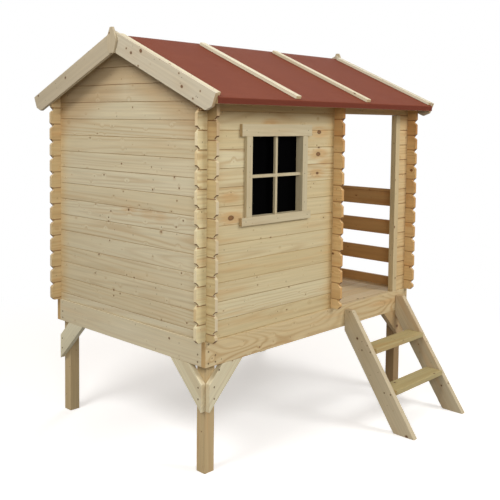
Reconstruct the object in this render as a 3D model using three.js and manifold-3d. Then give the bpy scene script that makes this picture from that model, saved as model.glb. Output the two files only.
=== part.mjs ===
// A timber playhouse on legs: a log-board room under a gable roof, an open porch with log rails at
// its end and back, and a ladder up to the porch. Lengths are millimetres. +X runs along the ridge
// from the gable wall to the porch, +Y from the window wall to the back wall, and +Z is up.
// While it is drawn, x = 0 is the gable wall's outer face, y = 0 the window wall's outer face and
// z = 0 the ground. At the end the whole is moved so that the origin lies under its middle.
import * as THREE from "three";
import { mergeVertices } from "three/addons/utils/BufferGeometryUtils.js";
import Module from "manifold-3d";

const wasm = await Module();
wasm.setup();

// Driving dimensions: the plan and the heights
const houseLength = 1680;
const roomLength = 953;
const houseWidth = 1210;
const floorHeight = 636;

// Clearances, and the number of sides of a round piece
const fitGap = 0.3;
const cutOverrun = 5;
const roundSides = 16;

// Log boards of the walls
const logHeight = 88.5;
const logThickness = 18;
const logOverhang = 60;
const logEndChamfer = 16;
const outerBevel = 2.5;
const lipDrop = 5;
const tongueRise = 10;
const sideCourses = 13;
const crossShift = 1 / 2;
const notchShare = 1 / 4;
const topRailCourse = 6;
const railCapRise = 27;
const railCapGap = 3;

// Floor frame, joists and floor boards
const frameHeight = 120;
const frameThickness = 28;
const frameProud = 8;
const joistHeight = 95;
const joistThickness = 45;
const roomJoistPlace = 470;
const floorBoardThickness = 16;
const floorBoardWidth = 88;
const floorGrooveWidth = 4;
const floorGrooveDepth = 3;

// Legs and their braces
const legSide = 58;
const braceWidth = 94;
const braceReach = 84;
const braceThickness = 28;

// Roof
const roofPitch = THREE.MathUtils.degToRad(23.5);
const eaveOverhang = 125;
const gableOverhang = 76;
const porchOverhang = 64;
const roofBoardThickness = 16;
const feltThickness = 2;
const eaveBattenWidth = 28;
const eaveBattenHeight = 10;
const roofBoardWidth = 88;
const roofGrooveWidth = 4;
const roofGrooveDepth = 3;
const battenWidth = 36;
const battenThickness = 16;
const battenRidgeGap = 22;
const battenEaveInset = 8;
const firstBattenPlace = 478;
const secondBattenPlace = 1066;
const endBattenWidth = 24;
const bargeboardWidth = 95;
const bargeboardThickness = 18;
const bargeboardReach = 6;
const bargeboardClip = 31;
const gablePlateWidth = 80;
const gablePlateHeight = 129;
const gablePlateThickness = 12;
const gablePlateRise = 16;
const gablePlateTopWidth = 21;
const gablePlateBottomWidth = 38;
const gablePlateTaper = 60;

// Window
const windowWidth = 375;
const windowHeight = 386;
const windowPlace = 281;
const windowSill = 554;
const windowLiningThickness = 16;
const windowLiningDepth = 44;
const windowStop = 10;
const paneSetback = 29;
const paneThickness = 3;
const casingThickness = 16;
const casingSideWidth = 38;
const casingTopHeight = 58;
const casingSillHeight = 40;
const casingTopOverhang = 33;
const casingSillOverhang = 31;
const casingSeam = 1.5;
const barWidth = 15;
const barSetback = 13;

// Doorway, door, hinges and knob
const doorwayWidth = 560;
const doorwayHeight = 1058;
const jambThickness = 16;
const jambProud = 8;
const doorStop = 10;
const doorThickness = 18;
const doorSideGap = 3;
const doorFootGap = 8;
const doorBoards = 6;
const doorGroove = 3;
const ledgeWidth = 80;
const ledgeThickness = 16;
const ledgeInset = 90;
const ledgeSideInset = 16;
const hingeHeight = 60;
const hingeMetal = 3;
const hingeStrapLength = 190;
const hingeStrapHeight = 23;
const hingeTipHeight = 13;
const hingePlateWidth = 15;
const knuckleRadius = 6;
const hingePinRadius = 3;
const hingeClearance = 0.5;
const knobRadius = 17;
const knobStem = 9;
const knobStemLength = 16;
const knobInset = 42;
const knobHeight = 500;
const knobWaistShare = 0.8;
const knobSteps = 6;

// Porch post at the ladder side
const postInset = 152;
const postWidth = 41;
const postDepth = 34;
const postProud = 8;
const postGroove = 10;

// Ladder
const ladderInset = 86;
const ladderWidth = 544;
const ladderPitch = THREE.MathUtils.degToRad(55.9);
const stringerWidth = 106;
const stringerThickness = 32;
const stringerTopDrop = 25;
const stringerHeelDrop = 24;
const stepDepth = 104;
const stepThickness = 27;
const lowerStepHeight = 223;
const upperStepHeight = 419;

const postPlace = houseLength - postInset;
const ladderPlace = houseLength - ladderInset - ladderWidth;
const wallBottom = floorHeight + fitGap;
const wallTop = wallBottom + sideCourses * logHeight;
const middleY = houseWidth / 2;
const ridgeUnder = wallTop + fitGap + middleY * Math.tan(roofPitch);
const eaveDistance = middleY + eaveOverhang;
const frameBottom = floorHeight - frameHeight;

// Geometry helpers
// A polygon given as [across, up] pairs becomes a flat plate, extruded along the third axis.
function plate(points, thickness, holes = []) {
  const shape = new THREE.Shape(points.map(([a, b]) => new THREE.Vector2(a, b)));
  for (const hole of holes) {
    shape.holes.push(new THREE.Path(hole.map(([a, b]) => new THREE.Vector2(a, b))));
  }
  return new THREE.ExtrudeGeometry(shape, { depth: thickness, bevelEnabled: false });
}

function axes(geometry, across, up, out) {
  const turn = new THREE.Matrix4().makeBasis(
    new THREE.Vector3(...across),
    new THREE.Vector3(...up),
    new THREE.Vector3(...out),
  );
  return geometry.applyMatrix4(turn);
}

// Points are [y, z]; the plate fills x from start to start + thickness.
function plateAlongX(points, start, thickness, holes) {
  const flat = plate(points, thickness, holes);
  return axes(flat, [0, 1, 0], [0, 0, 1], [1, 0, 0]).translate(start, 0, 0);
}

// Points are [x, z]; the plate fills y from start to start + thickness.
function plateAlongY(points, start, thickness, holes) {
  const flat = plate(points, thickness, holes);
  return axes(flat, [1, 0, 0], [0, 0, 1], [0, -1, 0]).translate(0, start + thickness, 0);
}

// Points are [x, y]; the plate fills z from start to start + thickness.
function plateAlongZ(points, start, thickness, holes) {
  return plate(points, thickness, holes).translate(0, 0, start);
}

function block(low, high) {
  const size = high.map((value, i) => value - low[i]);
  const middle = high.map((value, i) => (value + low[i]) / 2);
  return new THREE.BoxGeometry(...size).translate(...middle);
}

function rectangle(left, bottom, right, top) {
  return [[left, bottom], [right, bottom], [right, top], [left, top]];
}

function upright(radius, bottom, top, x, y) {
  const cylinder = new THREE.CylinderGeometry(radius, radius, top - bottom, roundSides);
  return cylinder.rotateX(Math.PI / 2).translate(x, y, (bottom + top) / 2);
}

function solid(geometry) {
  const bare = geometry.index ? geometry.toNonIndexed() : geometry.clone();
  bare.deleteAttribute("normal");
  bare.deleteAttribute("uv");
  const merged = mergeVertices(bare);
  const mesh = new wasm.Mesh({
    numProp: 3,
    vertProperties: merged.attributes.position.array,
    triVerts: new Uint32Array(merged.index.array),
  });
  return new wasm.Manifold(mesh);
}

function join(solids) {
  return solids.reduce((whole, piece) => whole.add(piece));
}

function cut(whole, cutters) {
  return cutters.length ? whole.subtract(join(cutters.map(solid))) : whole;
}

function geometryOf(body) {
  const mesh = body.getMesh();
  const geometry = new THREE.BufferGeometry();
  geometry.setAttribute("position", new THREE.BufferAttribute(mesh.vertProperties, 3));
  geometry.setIndex(new THREE.BufferAttribute(mesh.triVerts, 1));
  const faceted = geometry.toNonIndexed();
  faceted.computeVertexNormals();
  return faceted;
}

// Materials
const finishes = {
  wall: { color: 0xcdb98f, roughness: 0.72, metalness: 0 },
  frame: { color: 0xc8b083, roughness: 0.75, metalness: 0 },
  trim: { color: 0xd8c9a3, roughness: 0.7, metalness: 0 },
  step: { color: 0xa59664, roughness: 0.78, metalness: 0 },
  felt: { color: 0x8f5644, roughness: 0.95, metalness: 0 },
  steel: { color: 0x9a9a98, roughness: 0.35, metalness: 1 },
  pane: { color: 0x050505, roughness: 0.1, metalness: 0 },
};

const playhouse = new THREE.Group();

function add(name, geometry, finish, parent = playhouse) {
  const mesh = new THREE.Mesh(geometry, new THREE.MeshStandardMaterial(finishes[finish]));
  mesh.name = name;
  parent.add(mesh);
  return mesh;
}

// Log walls
// A wall is drawn lying along its own x, with its thickness along y and its courses up z.
// Its outer face is its low y side where outerLow is true, and its high y side where it is false.
function withoutRepeats(points) {
  return points.filter(([a, b], i) => {
    const [c, d] = points[(i + points.length - 1) % points.length];
    return a !== c || b !== d;
  });
}

// A log end on: a board with half-lapped edges. Its outer half hangs below the course line as a lip
// and its inner half stands above the next one, so that rain runs off the joint. The lowest logs
// have a flat foot and the highest a flat head.
function logProfile(bottom, top, outerLow, lapped) {
  const middle = logThickness / 2;
  const outerFoot = bottom - (lapped.foot ? lipDrop : 0);
  const innerFoot = bottom + (lapped.foot ? tongueRise : 0);
  const outerHead = top - (lapped.head ? lipDrop : 0);
  const innerHead = top + (lapped.head ? tongueRise : 0);
  const points = [
    [outerBevel, outerFoot],
    [middle, outerFoot],
    [middle, innerFoot],
    [logThickness, innerFoot],
    [logThickness, innerHead],
    [middle, innerHead],
    [middle, outerHead],
    [outerBevel, outerHead],
    [0, outerHead - outerBevel],
    [0, outerFoot + outerBevel],
  ];
  const turned = outerLow ? points : points.map(([across, up]) => [logThickness - across, up]);
  return ordered(withoutRepeats(turned));
}

// Its ends reach past the walls that it crosses and have their corners cut away, so that a stack of
// ends shows a row of notches.
function log(from, to, bottom, top, outerLow, options = {}) {
  const { startChamfer = logEndChamfer, foot = true, head = true } = options;
  const endChamfer = logEndChamfer;
  const side = [
    [from + startChamfer, bottom],
    [from + startChamfer, bottom - lipDrop],
    [to - endChamfer, bottom - lipDrop],
    [to - endChamfer, bottom],
    [to, bottom + endChamfer],
    [to, top - endChamfer],
    [to - endChamfer, top],
    [to - endChamfer, top + tongueRise],
    [from + startChamfer, top + tongueRise],
    [from + startChamfer, top],
    [from, top - startChamfer],
    [from, bottom + startChamfer],
  ];
  const profile = logProfile(bottom, top, outerLow, { foot, head });
  const board = plateAlongX(profile, from - cutOverrun, to - from + 2 * cutOverrun);
  const outline = plateAlongY(withoutRepeats(side), -cutOverrun, logThickness + 2 * cutOverrun);
  return solid(board).intersect(solid(outline));
}

// Where two walls cross, each log is cut a quarter of its height from above and from below, and the
// necks that are left lie on each other in turn. The side walls start with a whole log and the cross
// walls with half a log, so their seams lie half a log apart.
const sideSeam = (i) => i * logHeight;
const crossSeam = (i) => (i + crossShift) * logHeight;
const notchReach = notchShare * logHeight + fitGap;

function slots(places, seams) {
  return places.flatMap((place) =>
    seams.map((seam) =>
      block(
        [place - fitGap, -cutOverrun, seam - notchReach],
        [place + logThickness + fitGap, logThickness + cutOverrun, seam + notchReach],
      ),
    ),
  );
}

function seamsUpTo(count, seamAt) {
  return Array.from({ length: count }, (_, i) => seamAt(i));
}

function sideWallSlots() {
  const places = [0, roomLength - logThickness, houseLength - logThickness];
  return slots(places, seamsUpTo(sideCourses + 1, sideSeam));
}

function crossWallSlots() {
  return slots([0, houseWidth - logThickness], seamsUpTo(sideCourses, crossSeam));
}

// The top logs of the side walls stop behind the bargeboards.
const topLogStart = -Math.min(logOverhang, gableOverhang - bargeboardThickness - fitGap);
const topLogEnd = houseLength + Math.min(logOverhang, porchOverhang - bargeboardThickness - fitGap);
const roomLogEnd = roomLength + logOverhang;
const cornerLogLength = logThickness + 2 * logOverhang;

function topLog(outerLow) {
  const bottom = sideSeam(sideCourses - 1);
  return log(topLogStart, topLogEnd, bottom, sideSeam(sideCourses), outerLow, { head: false });
}

// A rail is a log whose edges are square where it is free, both at the height of its inner half.
function rail(log, freeFrom, freeTo, bottom, top) {
  const lip = block(
    [freeFrom, -cutOverrun, bottom - lipDrop - cutOverrun],
    [freeTo, logThickness + cutOverrun, bottom + (bottom > 0 ? tongueRise : 0)],
  );
  const head = block(
    [freeFrom, 0, top - lipDrop - outerBevel],
    [freeTo, logThickness, top + tongueRise],
  );
  return cut(log, [lip]).add(solid(head));
}

// The hand rail's cap makes the top rail higher between the short logs at its two ends.
function railCap(freeFrom, freeTo, height) {
  return solid(
    block(
      [freeFrom + railCapGap, 0, height],
      [freeTo - railCapGap, logThickness, height + railCapRise],
    ),
  );
}

function windowWall() {
  const stubStart = postPlace + postWidth - postGroove + fitGap;
  const logs = [topLog(true)];
  for (let i = 0; i < sideCourses - 1; i += 1) {
    const bottom = sideSeam(i);
    const top = sideSeam(i + 1);
    const foot = i > 0;
    const stubEnd = houseLength + logOverhang;
    logs.push(log(-logOverhang, roomLogEnd, bottom, top, true, { foot }));
    logs.push(log(stubStart, stubEnd, bottom, top, true, { foot, startChamfer: 0 }));
  }
  const opening = block(
    [windowPlace - windowLiningThickness, -cutOverrun, windowSill - windowLiningThickness],
    [
      windowPlace + windowWidth + windowLiningThickness,
      logThickness + cutOverrun,
      windowSill + windowHeight + windowLiningThickness,
    ],
  );
  return cut(join(logs), [...sideWallSlots(), opening]);
}

function backWall() {
  const end = houseLength + logOverhang;
  const cornerStart = end - cornerLogLength;
  const logs = [topLog(false)];
  for (let i = 0; i < sideCourses - 1; i += 1) {
    const bottom = sideSeam(i);
    const top = sideSeam(i + 1);
    const foot = i > 0;
    if (i % 2 === 0 && i <= topRailCourse) {
      const whole = log(-logOverhang, end, bottom, top, false, { foot });
      logs.push(rail(whole, roomLogEnd, cornerStart, bottom, top));
    } else {
      logs.push(log(-logOverhang, roomLogEnd, bottom, top, false, { foot }));
      logs.push(log(cornerStart, end, bottom, top, false, { foot }));
    }
  }
  logs.push(railCap(roomLogEnd, cornerStart, sideSeam(topRailCourse + 1)));
  return cut(join(logs), sideWallSlots());
}

// Everything of a cross wall above the roof boards' underside is cut away.
function roofCutter() {
  const reach = middleY + logOverhang + cutOverrun;
  const under = (distance) => ridgeUnder - fitGap - distance * Math.tan(roofPitch) - wallBottom;
  const above = ridgeUnder - wallBottom + tongueRise + logHeight;
  const sky = [
    [middleY - reach, under(reach)],
    [middleY, under(0)],
    [middleY + reach, under(reach)],
    [middleY + reach, above],
    [middleY - reach, above],
  ];
  return plateAlongY(sky, -cutOverrun, logThickness + 2 * cutOverrun);
}

// A cross wall has a half log at its foot and whole ones above it, up to the ridge.
const crossWallStart = -logOverhang;
const crossWallEnd = houseWidth + logOverhang;
const ridgeCourses = Math.ceil((ridgeUnder - wallBottom) / logHeight - crossShift);

function crossLog(i, outerLow) {
  const bottom = Math.max(crossSeam(i), 0);
  return log(crossWallStart, crossWallEnd, bottom, crossSeam(i + 1), outerLow, { foot: i >= 0 });
}

function crossWall(logs, cutters) {
  return cut(join(logs), [...crossWallSlots(), roofCutter(), ...cutters]);
}

function closedCrossWall(outerLow, cutters) {
  const logs = [];
  for (let i = -1; i < ridgeCourses; i += 1) logs.push(crossLog(i, outerLow));
  return crossWall(logs, cutters);
}

function gableWall() {
  return closedCrossWall(false, []);
}

const doorwayStart = middleY - doorwayWidth / 2;
const doorwayEnd = middleY + doorwayWidth / 2;

function doorWall() {
  const doorway = block(
    [doorwayStart, -cutOverrun, -cutOverrun],
    [doorwayEnd, logThickness + cutOverrun, doorwayHeight],
  );
  return closedCrossWall(true, [doorway]);
}

// The half log and every other log above it are rails, with short logs between them at the corners.
// The gable over the porch is closed again.
function porchEndWall() {
  const freeFrom = crossWallStart + cornerLogLength;
  const freeTo = crossWallEnd - cornerLogLength;
  const logs = [railCap(freeFrom, freeTo, crossSeam(topRailCourse))];
  for (let i = -1; i < ridgeCourses; i += 1) {
    const bottom = Math.max(crossSeam(i), 0);
    const top = crossSeam(i + 1);
    if (i >= sideCourses - 1) {
      logs.push(crossLog(i, true));
    } else if (Math.abs(i % 2) === 1 && i < topRailCourse) {
      logs.push(rail(crossLog(i, true), freeFrom, freeTo, bottom, top));
    } else {
      logs.push(log(crossWallStart, freeFrom, bottom, top, true));
      logs.push(log(freeTo, crossWallEnd, bottom, top, true));
    }
  }
  return crossWall(logs, []);
}

function placeSideWall(name, wall, y) {
  add(name, geometryOf(wall), "wall").position.set(0, y, wallBottom);
}

// A cross wall is turned to run along +Y. Its own y then points to -X, so it is placed by its +X face.
function placeCrossWall(name, wall, outerX) {
  const mesh = add(name, geometryOf(wall), "wall");
  mesh.rotation.z = Math.PI / 2;
  mesh.position.set(outerX, 0, wallBottom);
}

function addWalls() {
  placeSideWall("window_wall", windowWall(), 0);
  placeSideWall("back_wall", backWall(), houseWidth - logThickness);
  placeCrossWall("gable_wall", gableWall(), logThickness);
  placeCrossWall("door_wall", doorWall(), roomLength);
  placeCrossWall("porch_end_wall", porchEndWall(), houseLength);
}

// Floor
function addFloorFrame() {
  const left = -frameProud;
  const right = houseLength + frameProud;
  const front = -frameProud;
  const back = houseWidth + frameProud;
  const bottom = frameBottom;
  const top = floorHeight;
  const long = (y) => block([left, y, bottom], [right, y + frameThickness, top]);
  const short = (x) =>
    block(
      [x, front + frameThickness + fitGap, bottom],
      [x + frameThickness, back - frameThickness - fitGap, top],
    );
  add("frame_board_front", long(front), "frame");
  add("frame_board_back", long(back - frameThickness), "frame");
  add("frame_board_gable_end", short(left), "frame");
  add("frame_board_porch_end", short(right - frameThickness), "frame");
}

const frameInside = {
  left: -frameProud + frameThickness + fitGap,
  right: houseLength + frameProud - frameThickness - fitGap,
  front: -frameProud + frameThickness + fitGap,
  back: houseWidth + frameProud - frameThickness - fitGap,
};
const floorUnder = floorHeight - floorBoardThickness;
const floorJoint = roomLength - logThickness / 2;

function addJoists() {
  const joist = (middleX) =>
    block(
      [middleX - joistThickness / 2, frameInside.front, floorUnder - fitGap - joistHeight],
      [middleX + joistThickness / 2, frameInside.back, floorUnder - fitGap],
    );
  add("joist_under_room", joist(roomJoistPlace), "frame");
  add("joist_under_door_wall", joist(floorJoint), "frame");
}

// Floor boards lie side by side along the house: one board field with a groove at each seam.
function floorField(startX, endX) {
  const front = frameInside.front;
  const back = frameInside.back;
  const points = [[front, floorUnder], [back, floorUnder], [back, floorHeight]];
  const seams = Math.ceil((back - front) / floorBoardWidth) - 1;
  for (let i = seams; i >= 1; i -= 1) {
    const seam = front + i * floorBoardWidth;
    points.push([seam + floorGrooveWidth / 2, floorHeight]);
    points.push([seam, floorHeight - floorGrooveDepth]);
    points.push([seam - floorGrooveWidth / 2, floorHeight]);
  }
  points.push([front, floorHeight]);
  return plateAlongX(points, startX, endX - startX);
}

function addFloors() {
  add("room_floor", floorField(frameInside.left, floorJoint - fitGap / 2), "frame");
  add("porch_deck", floorField(floorJoint + fitGap / 2, frameInside.right), "frame");
}

// Legs stand inside the frame's corners. Two flat braces on each leg's outer faces run up at 45
// degrees to the underside of the frame boards, in the same plane as these.
function brace(direction, legFace) {
  const reach = braceReach;
  const far = braceReach + braceWidth * Math.SQRT2;
  const top = frameBottom - fitGap;
  const corner = [[reach, 0], [far, 0], [0, -far], [0, -reach]];
  return corner.map(([along, down]) => [legFace + direction * along, top + down]);
}

function addLegs() {
  const corners = [
    ["front_gable", 1, 1],
    ["front_porch", -1, 1],
    ["back_gable", 1, -1],
    ["back_porch", -1, -1],
  ];
  for (const [name, towardsX, towardsY] of corners) {
    const faceX = towardsX > 0 ? frameInside.left : frameInside.right;
    const faceY = towardsY > 0 ? frameInside.front : frameInside.back;
    const lowX = towardsX > 0 ? faceX : faceX - legSide;
    const lowY = towardsY > 0 ? faceY : faceY - legSide;
    const leg = block([lowX, lowY, 0], [lowX + legSide, lowY + legSide, floorUnder - fitGap]);
    add(`leg_${name}`, leg, "frame");
    const outerX = towardsX > 0 ? -frameProud : houseLength + frameProud - braceThickness;
    const outerY = towardsY > 0 ? -frameProud : houseWidth + frameProud - braceThickness;
    const endBrace = plateAlongX(ordered(brace(towardsY, faceY)), outerX, braceThickness);
    const sideBrace = plateAlongY(ordered(brace(towardsX, faceX)), outerY, braceThickness);
    add(`brace_${name}_end`, endBrace, "frame");
    add(`brace_${name}_side`, sideBrace, "frame");
  }
}

// A mirrored outline runs clockwise, and is turned round so that its plate faces outwards.
function ordered(points) {
  const area = points.reduce((sum, [a, b], i) => {
    const [c, d] = points[(i + 1) % points.length];
    return sum + a * d - b * c;
  }, 0);
  return area < 0 ? [...points].reverse() : points;
}

// Roof
// A point on a slope: its distance down the slope from the ridge, and its height square to it.
function slopePoint(side, along, lift) {
  const distance = along * Math.cos(roofPitch) + lift * Math.sin(roofPitch);
  const height = ridgeUnder - along * Math.sin(roofPitch) + lift * Math.cos(roofPitch);
  return [middleY + side * distance, height];
}

// The same by its level distance from the ridge, as on a plumb cut.
function plumbPoint(side, distance, lift) {
  const along = (distance - lift * Math.sin(roofPitch)) / Math.cos(roofPitch);
  return slopePoint(side, along, lift);
}

const roofStart = -gableOverhang + bargeboardThickness + fitGap;
const roofEnd = houseLength + porchOverhang - bargeboardThickness - fitGap;
const feltUnder = roofBoardThickness + fitGap;
const feltTop = feltUnder + feltThickness;
const battenUnder = feltTop + fitGap;
const battenTop = battenUnder + battenThickness;
const eaveBottom = plumbPoint(1, eaveDistance, 0)[1] - eaveBattenHeight;
const feltFace = eaveDistance + fitGap + feltThickness;
const sides = [["front", -1], ["back", 1]];

// Roof boards of one slope, side by side along the house with a groove under each seam, and the
// batten under their eave that the felt is folded over.
function roofBoards(side) {
  const inner = eaveDistance - eaveBattenWidth;
  const points = [plumbPoint(side, fitGap / 2, 0)];
  const seams = Math.floor(inner / Math.cos(roofPitch) / roofBoardWidth);
  for (let i = 1; i <= seams; i += 1) {
    const seam = i * roofBoardWidth;
    points.push(slopePoint(side, seam - roofGrooveWidth / 2, 0));
    points.push(slopePoint(side, seam, roofGrooveDepth));
    points.push(slopePoint(side, seam + roofGrooveWidth / 2, 0));
  }
  points.push(
    plumbPoint(side, inner, 0),
    [middleY + side * inner, eaveBottom],
    [middleY + side * eaveDistance, eaveBottom],
    plumbPoint(side, eaveDistance, roofBoardThickness),
    plumbPoint(side, fitGap / 2, roofBoardThickness),
  );
  return plateAlongX(ordered(points), roofStart, roofEnd - roofStart);
}

function roofFelt() {
  const half = (side) => [
    plumbPoint(side, eaveDistance + fitGap, feltUnder),
    [middleY + side * (eaveDistance + fitGap), eaveBottom],
    [middleY + side * feltFace, eaveBottom],
    plumbPoint(side, feltFace, feltTop),
  ];
  const points = [
    plumbPoint(1, 0, feltUnder),
    ...half(1),
    plumbPoint(1, 0, feltTop),
    ...half(-1).reverse(),
  ];
  return plateAlongX(ordered(points), roofStart, roofEnd - roofStart);
}

// A batten is cut square and stops short of the ridge and of the eave.
function batten(side, start, width) {
  const eave = feltFace / Math.cos(roofPitch) - battenTop * Math.tan(roofPitch);
  const end = eave - battenEaveInset;
  const points = [
    slopePoint(side, battenRidgeGap, battenUnder),
    slopePoint(side, end, battenUnder),
    slopePoint(side, end, battenTop),
    slopePoint(side, battenRidgeGap, battenTop),
  ];
  return plateAlongX(ordered(points), start, width);
}

function bargeboard(side, start) {
  const end = (eaveDistance + bargeboardReach) / Math.cos(roofPitch) - battenTop * Math.tan(roofPitch);
  const bottom = battenTop - bargeboardWidth;
  const points = [
    plumbPoint(side, fitGap / 2, bottom),
    slopePoint(side, end - bargeboardClip, bottom),
    slopePoint(side, end, bottom + bargeboardClip),
    slopePoint(side, end, battenTop),
    plumbPoint(side, fitGap / 2, battenTop),
  ];
  return plateAlongX(ordered(points), start, bargeboardThickness);
}

// The plate over the joint of two bargeboards is narrower at its top and foot than in the middle.
function gablePlate(start) {
  const top = plumbPoint(1, 0, battenTop)[1] + gablePlateRise;
  const bottom = top - gablePlateHeight;
  const right = [
    [gablePlateTopWidth / 2, top],
    [gablePlateWidth / 2, top - gablePlateTaper],
    [gablePlateWidth / 2, bottom + gablePlateTaper],
    [gablePlateBottomWidth / 2, bottom],
  ];
  const left = right.map(([across, up]) => [-across, up]).reverse();
  const points = [...right, ...left].map(([across, up]) => [middleY + across, up]);
  return plateAlongX(ordered(points), start, gablePlateThickness);
}

function addRoof() {
  const gableFace = -gableOverhang;
  const porchFace = houseLength + porchOverhang;
  for (const [name, side] of sides) {
    add(`roof_boards_${name}`, roofBoards(side), "frame");
    add(`felt_batten_${name}_near`, batten(side, firstBattenPlace, battenWidth), "trim");
    add(`felt_batten_${name}_far`, batten(side, secondBattenPlace, battenWidth), "trim");
    add(`end_batten_${name}_gable`, batten(side, roofStart, endBattenWidth), "trim");
    add(`end_batten_${name}_porch`, batten(side, roofEnd - endBattenWidth, endBattenWidth), "trim");
    add(`bargeboard_${name}_gable`, bargeboard(side, gableFace), "trim");
    add(`bargeboard_${name}_porch`, bargeboard(side, porchFace - bargeboardThickness), "trim");
  }
  add("roof_felt", roofFelt(), "felt");
  add("gable_plate_gable", gablePlate(gableFace - fitGap - gablePlateThickness), "trim");
  add("gable_plate_porch", gablePlate(porchFace + fitGap), "trim");
}

// Window
const windowEdge = {
  left: windowPlace,
  right: windowPlace + windowWidth,
  bottom: wallBottom + windowSill,
  top: wallBottom + windowSill + windowHeight,
};

// The lining fills the hole in the wall. Behind the pane it steps in as a stop.
function windowLining() {
  const { left, right, bottom, top } = windowEdge;
  const outer = windowLiningThickness - fitGap;
  const ring = rectangle(left - outer, bottom - outer, right + outer, top + outer);
  const stopStart = paneSetback + paneThickness + fitGap;
  const front = plateAlongY(ring, 0, windowLiningDepth, [rectangle(left, bottom, right, top)]);
  const inner = [left + windowStop, bottom + windowStop, right - windowStop, top - windowStop];
  const clear = rectangle(left - fitGap, bottom - fitGap, right + fitGap, top + fitGap);
  const stop = plateAlongY(clear, stopStart, windowLiningDepth - stopStart, [rectangle(...inner)]);
  return geometryOf(join([solid(front), solid(stop)]));
}

// Casing boards on the wall's face, with a fine groove at each joint.
function windowCasing() {
  const { left, right, bottom, top } = windowEdge;
  const width = casingSideWidth;
  const face = -casingThickness - fitGap;
  const board = (low, foot, high, head) => solid(block([low, face, foot], [high, -fitGap, head]));
  const topReach = width + casingTopOverhang;
  const sillReach = width + casingSillOverhang;
  const boards = join([
    board(left - topReach, top, right + topReach, top + casingTopHeight),
    board(left - sillReach, bottom - casingSillHeight, right + sillReach, bottom),
    board(left - width, bottom, left, top),
    board(right, bottom, right + width, top),
  ]);
  const groove = (start, height) =>
    plateAlongX(
      [
        [face - casingSeam, height - 2 * casingSeam],
        [face + casingSeam, height],
        [face - casingSeam, height + 2 * casingSeam],
      ],
      start - casingSeam,
      width + 2 * casingSeam,
    );
  const seams = [];
  for (const height of [bottom, top]) {
    seams.push(groove(left - width, height), groove(right, height));
  }
  return geometryOf(cut(boards, seams));
}

function windowBars() {
  const { left, right, bottom, top } = windowEdge;
  const start = -casingThickness + barSetback;
  const middleX = (left + right) / 2;
  const middleZ = (bottom + top) / 2;
  const half = barWidth / 2;
  const tall = block(
    [middleX - half, start, bottom + fitGap],
    [middleX + half, start + barWidth, top - fitGap],
  );
  const wide = block(
    [left + fitGap, start, middleZ - half],
    [right - fitGap, start + barWidth, middleZ + half],
  );
  return geometryOf(join([solid(tall), solid(wide)]));
}

function windowPane() {
  const { left, right, bottom, top } = windowEdge;
  return block(
    [left + fitGap, paneSetback, bottom + fitGap],
    [right - fitGap, paneSetback + paneThickness, top - fitGap],
  );
}

function addWindow() {
  add("window_lining", windowLining(), "trim");
  add("window_casing", windowCasing(), "trim");
  add("window_bars", windowBars(), "trim");
  add("window_pane", windowPane(), "pane");
}

// Door
const jambFace = roomLength + jambProud;
const doorwayTop = wallBottom + doorwayHeight;
const doorFace = jambFace;
const doorInner = doorFace - doorThickness;
const doorLow = doorwayStart + jambThickness + doorSideGap;
const doorHigh = doorwayEnd - jambThickness - doorSideGap;
const doorBottom = floorHeight + doorFootGap;
const doorTop = doorwayTop - jambThickness - doorSideGap;
const hingeAxisX = jambFace + fitGap + knuckleRadius;
const hingeAxisY = doorwayEnd - jambThickness - doorSideGap / 2;

// Two jambs and a head in one frame, with a step on the room side that the door shuts against.
function doorJamb() {
  const start = roomLength - logThickness - jambProud;
  const arch = (inset) => [
    [doorwayStart + inset, wallBottom],
    [doorwayStart + inset, doorwayTop - inset],
    [doorwayEnd - inset, doorwayTop - inset],
    [doorwayEnd - inset, wallBottom],
  ];
  const ring = (inset) => ordered([...arch(inset), ...arch(fitGap).reverse()]);
  const frame = plateAlongX(ring(jambThickness), start, jambFace - start);
  const stop = plateAlongX(ring(jambThickness + doorStop), start, doorInner - fitGap - start);
  return geometryOf(join([solid(frame), solid(stop)]));
}

// Upright boards side by side, seen from above: a long outline with a groove at each seam.
function doorLeaf() {
  const boardWidth = (doorHigh - doorLow) / doorBoards;
  const points = [[doorInner, doorLow], [doorFace, doorLow]];
  for (let i = 1; i < doorBoards; i += 1) {
    const seam = doorLow + i * boardWidth;
    points.push([doorFace, seam - doorGroove]);
    points.push([doorFace - doorGroove, seam]);
    points.push([doorFace, seam + doorGroove]);
  }
  points.push([doorFace, doorHigh], [doorInner, doorHigh]);
  return plateAlongZ(points, doorBottom, doorTop - doorBottom);
}

// Two ledges and the brace between them, on the door's room side inside the stops.
function doorLedges() {
  const low = doorLow + ledgeSideInset;
  const high = doorHigh - ledgeSideInset;
  const lower = doorBottom + ledgeInset;
  const upper = doorTop - ledgeInset - ledgeWidth;
  const start = doorInner - fitGap - ledgeThickness;
  const ledge = (bottom) =>
    solid(block([start, low, bottom], [start + ledgeThickness, high, bottom + ledgeWidth]));
  const diagonal = [
    [high, lower + ledgeWidth / 2],
    [high, lower + ledgeWidth],
    [low + ledgeWidth, upper + ledgeWidth / 2],
    [low, upper + ledgeWidth / 2],
    [low, upper],
    [high - ledgeWidth, lower + ledgeWidth / 2],
  ];
  const slant = solid(plateAlongX(ordered(diagonal), start, ledgeThickness));
  return geometryOf(join([ledge(lower), ledge(upper), slant]));
}

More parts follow.
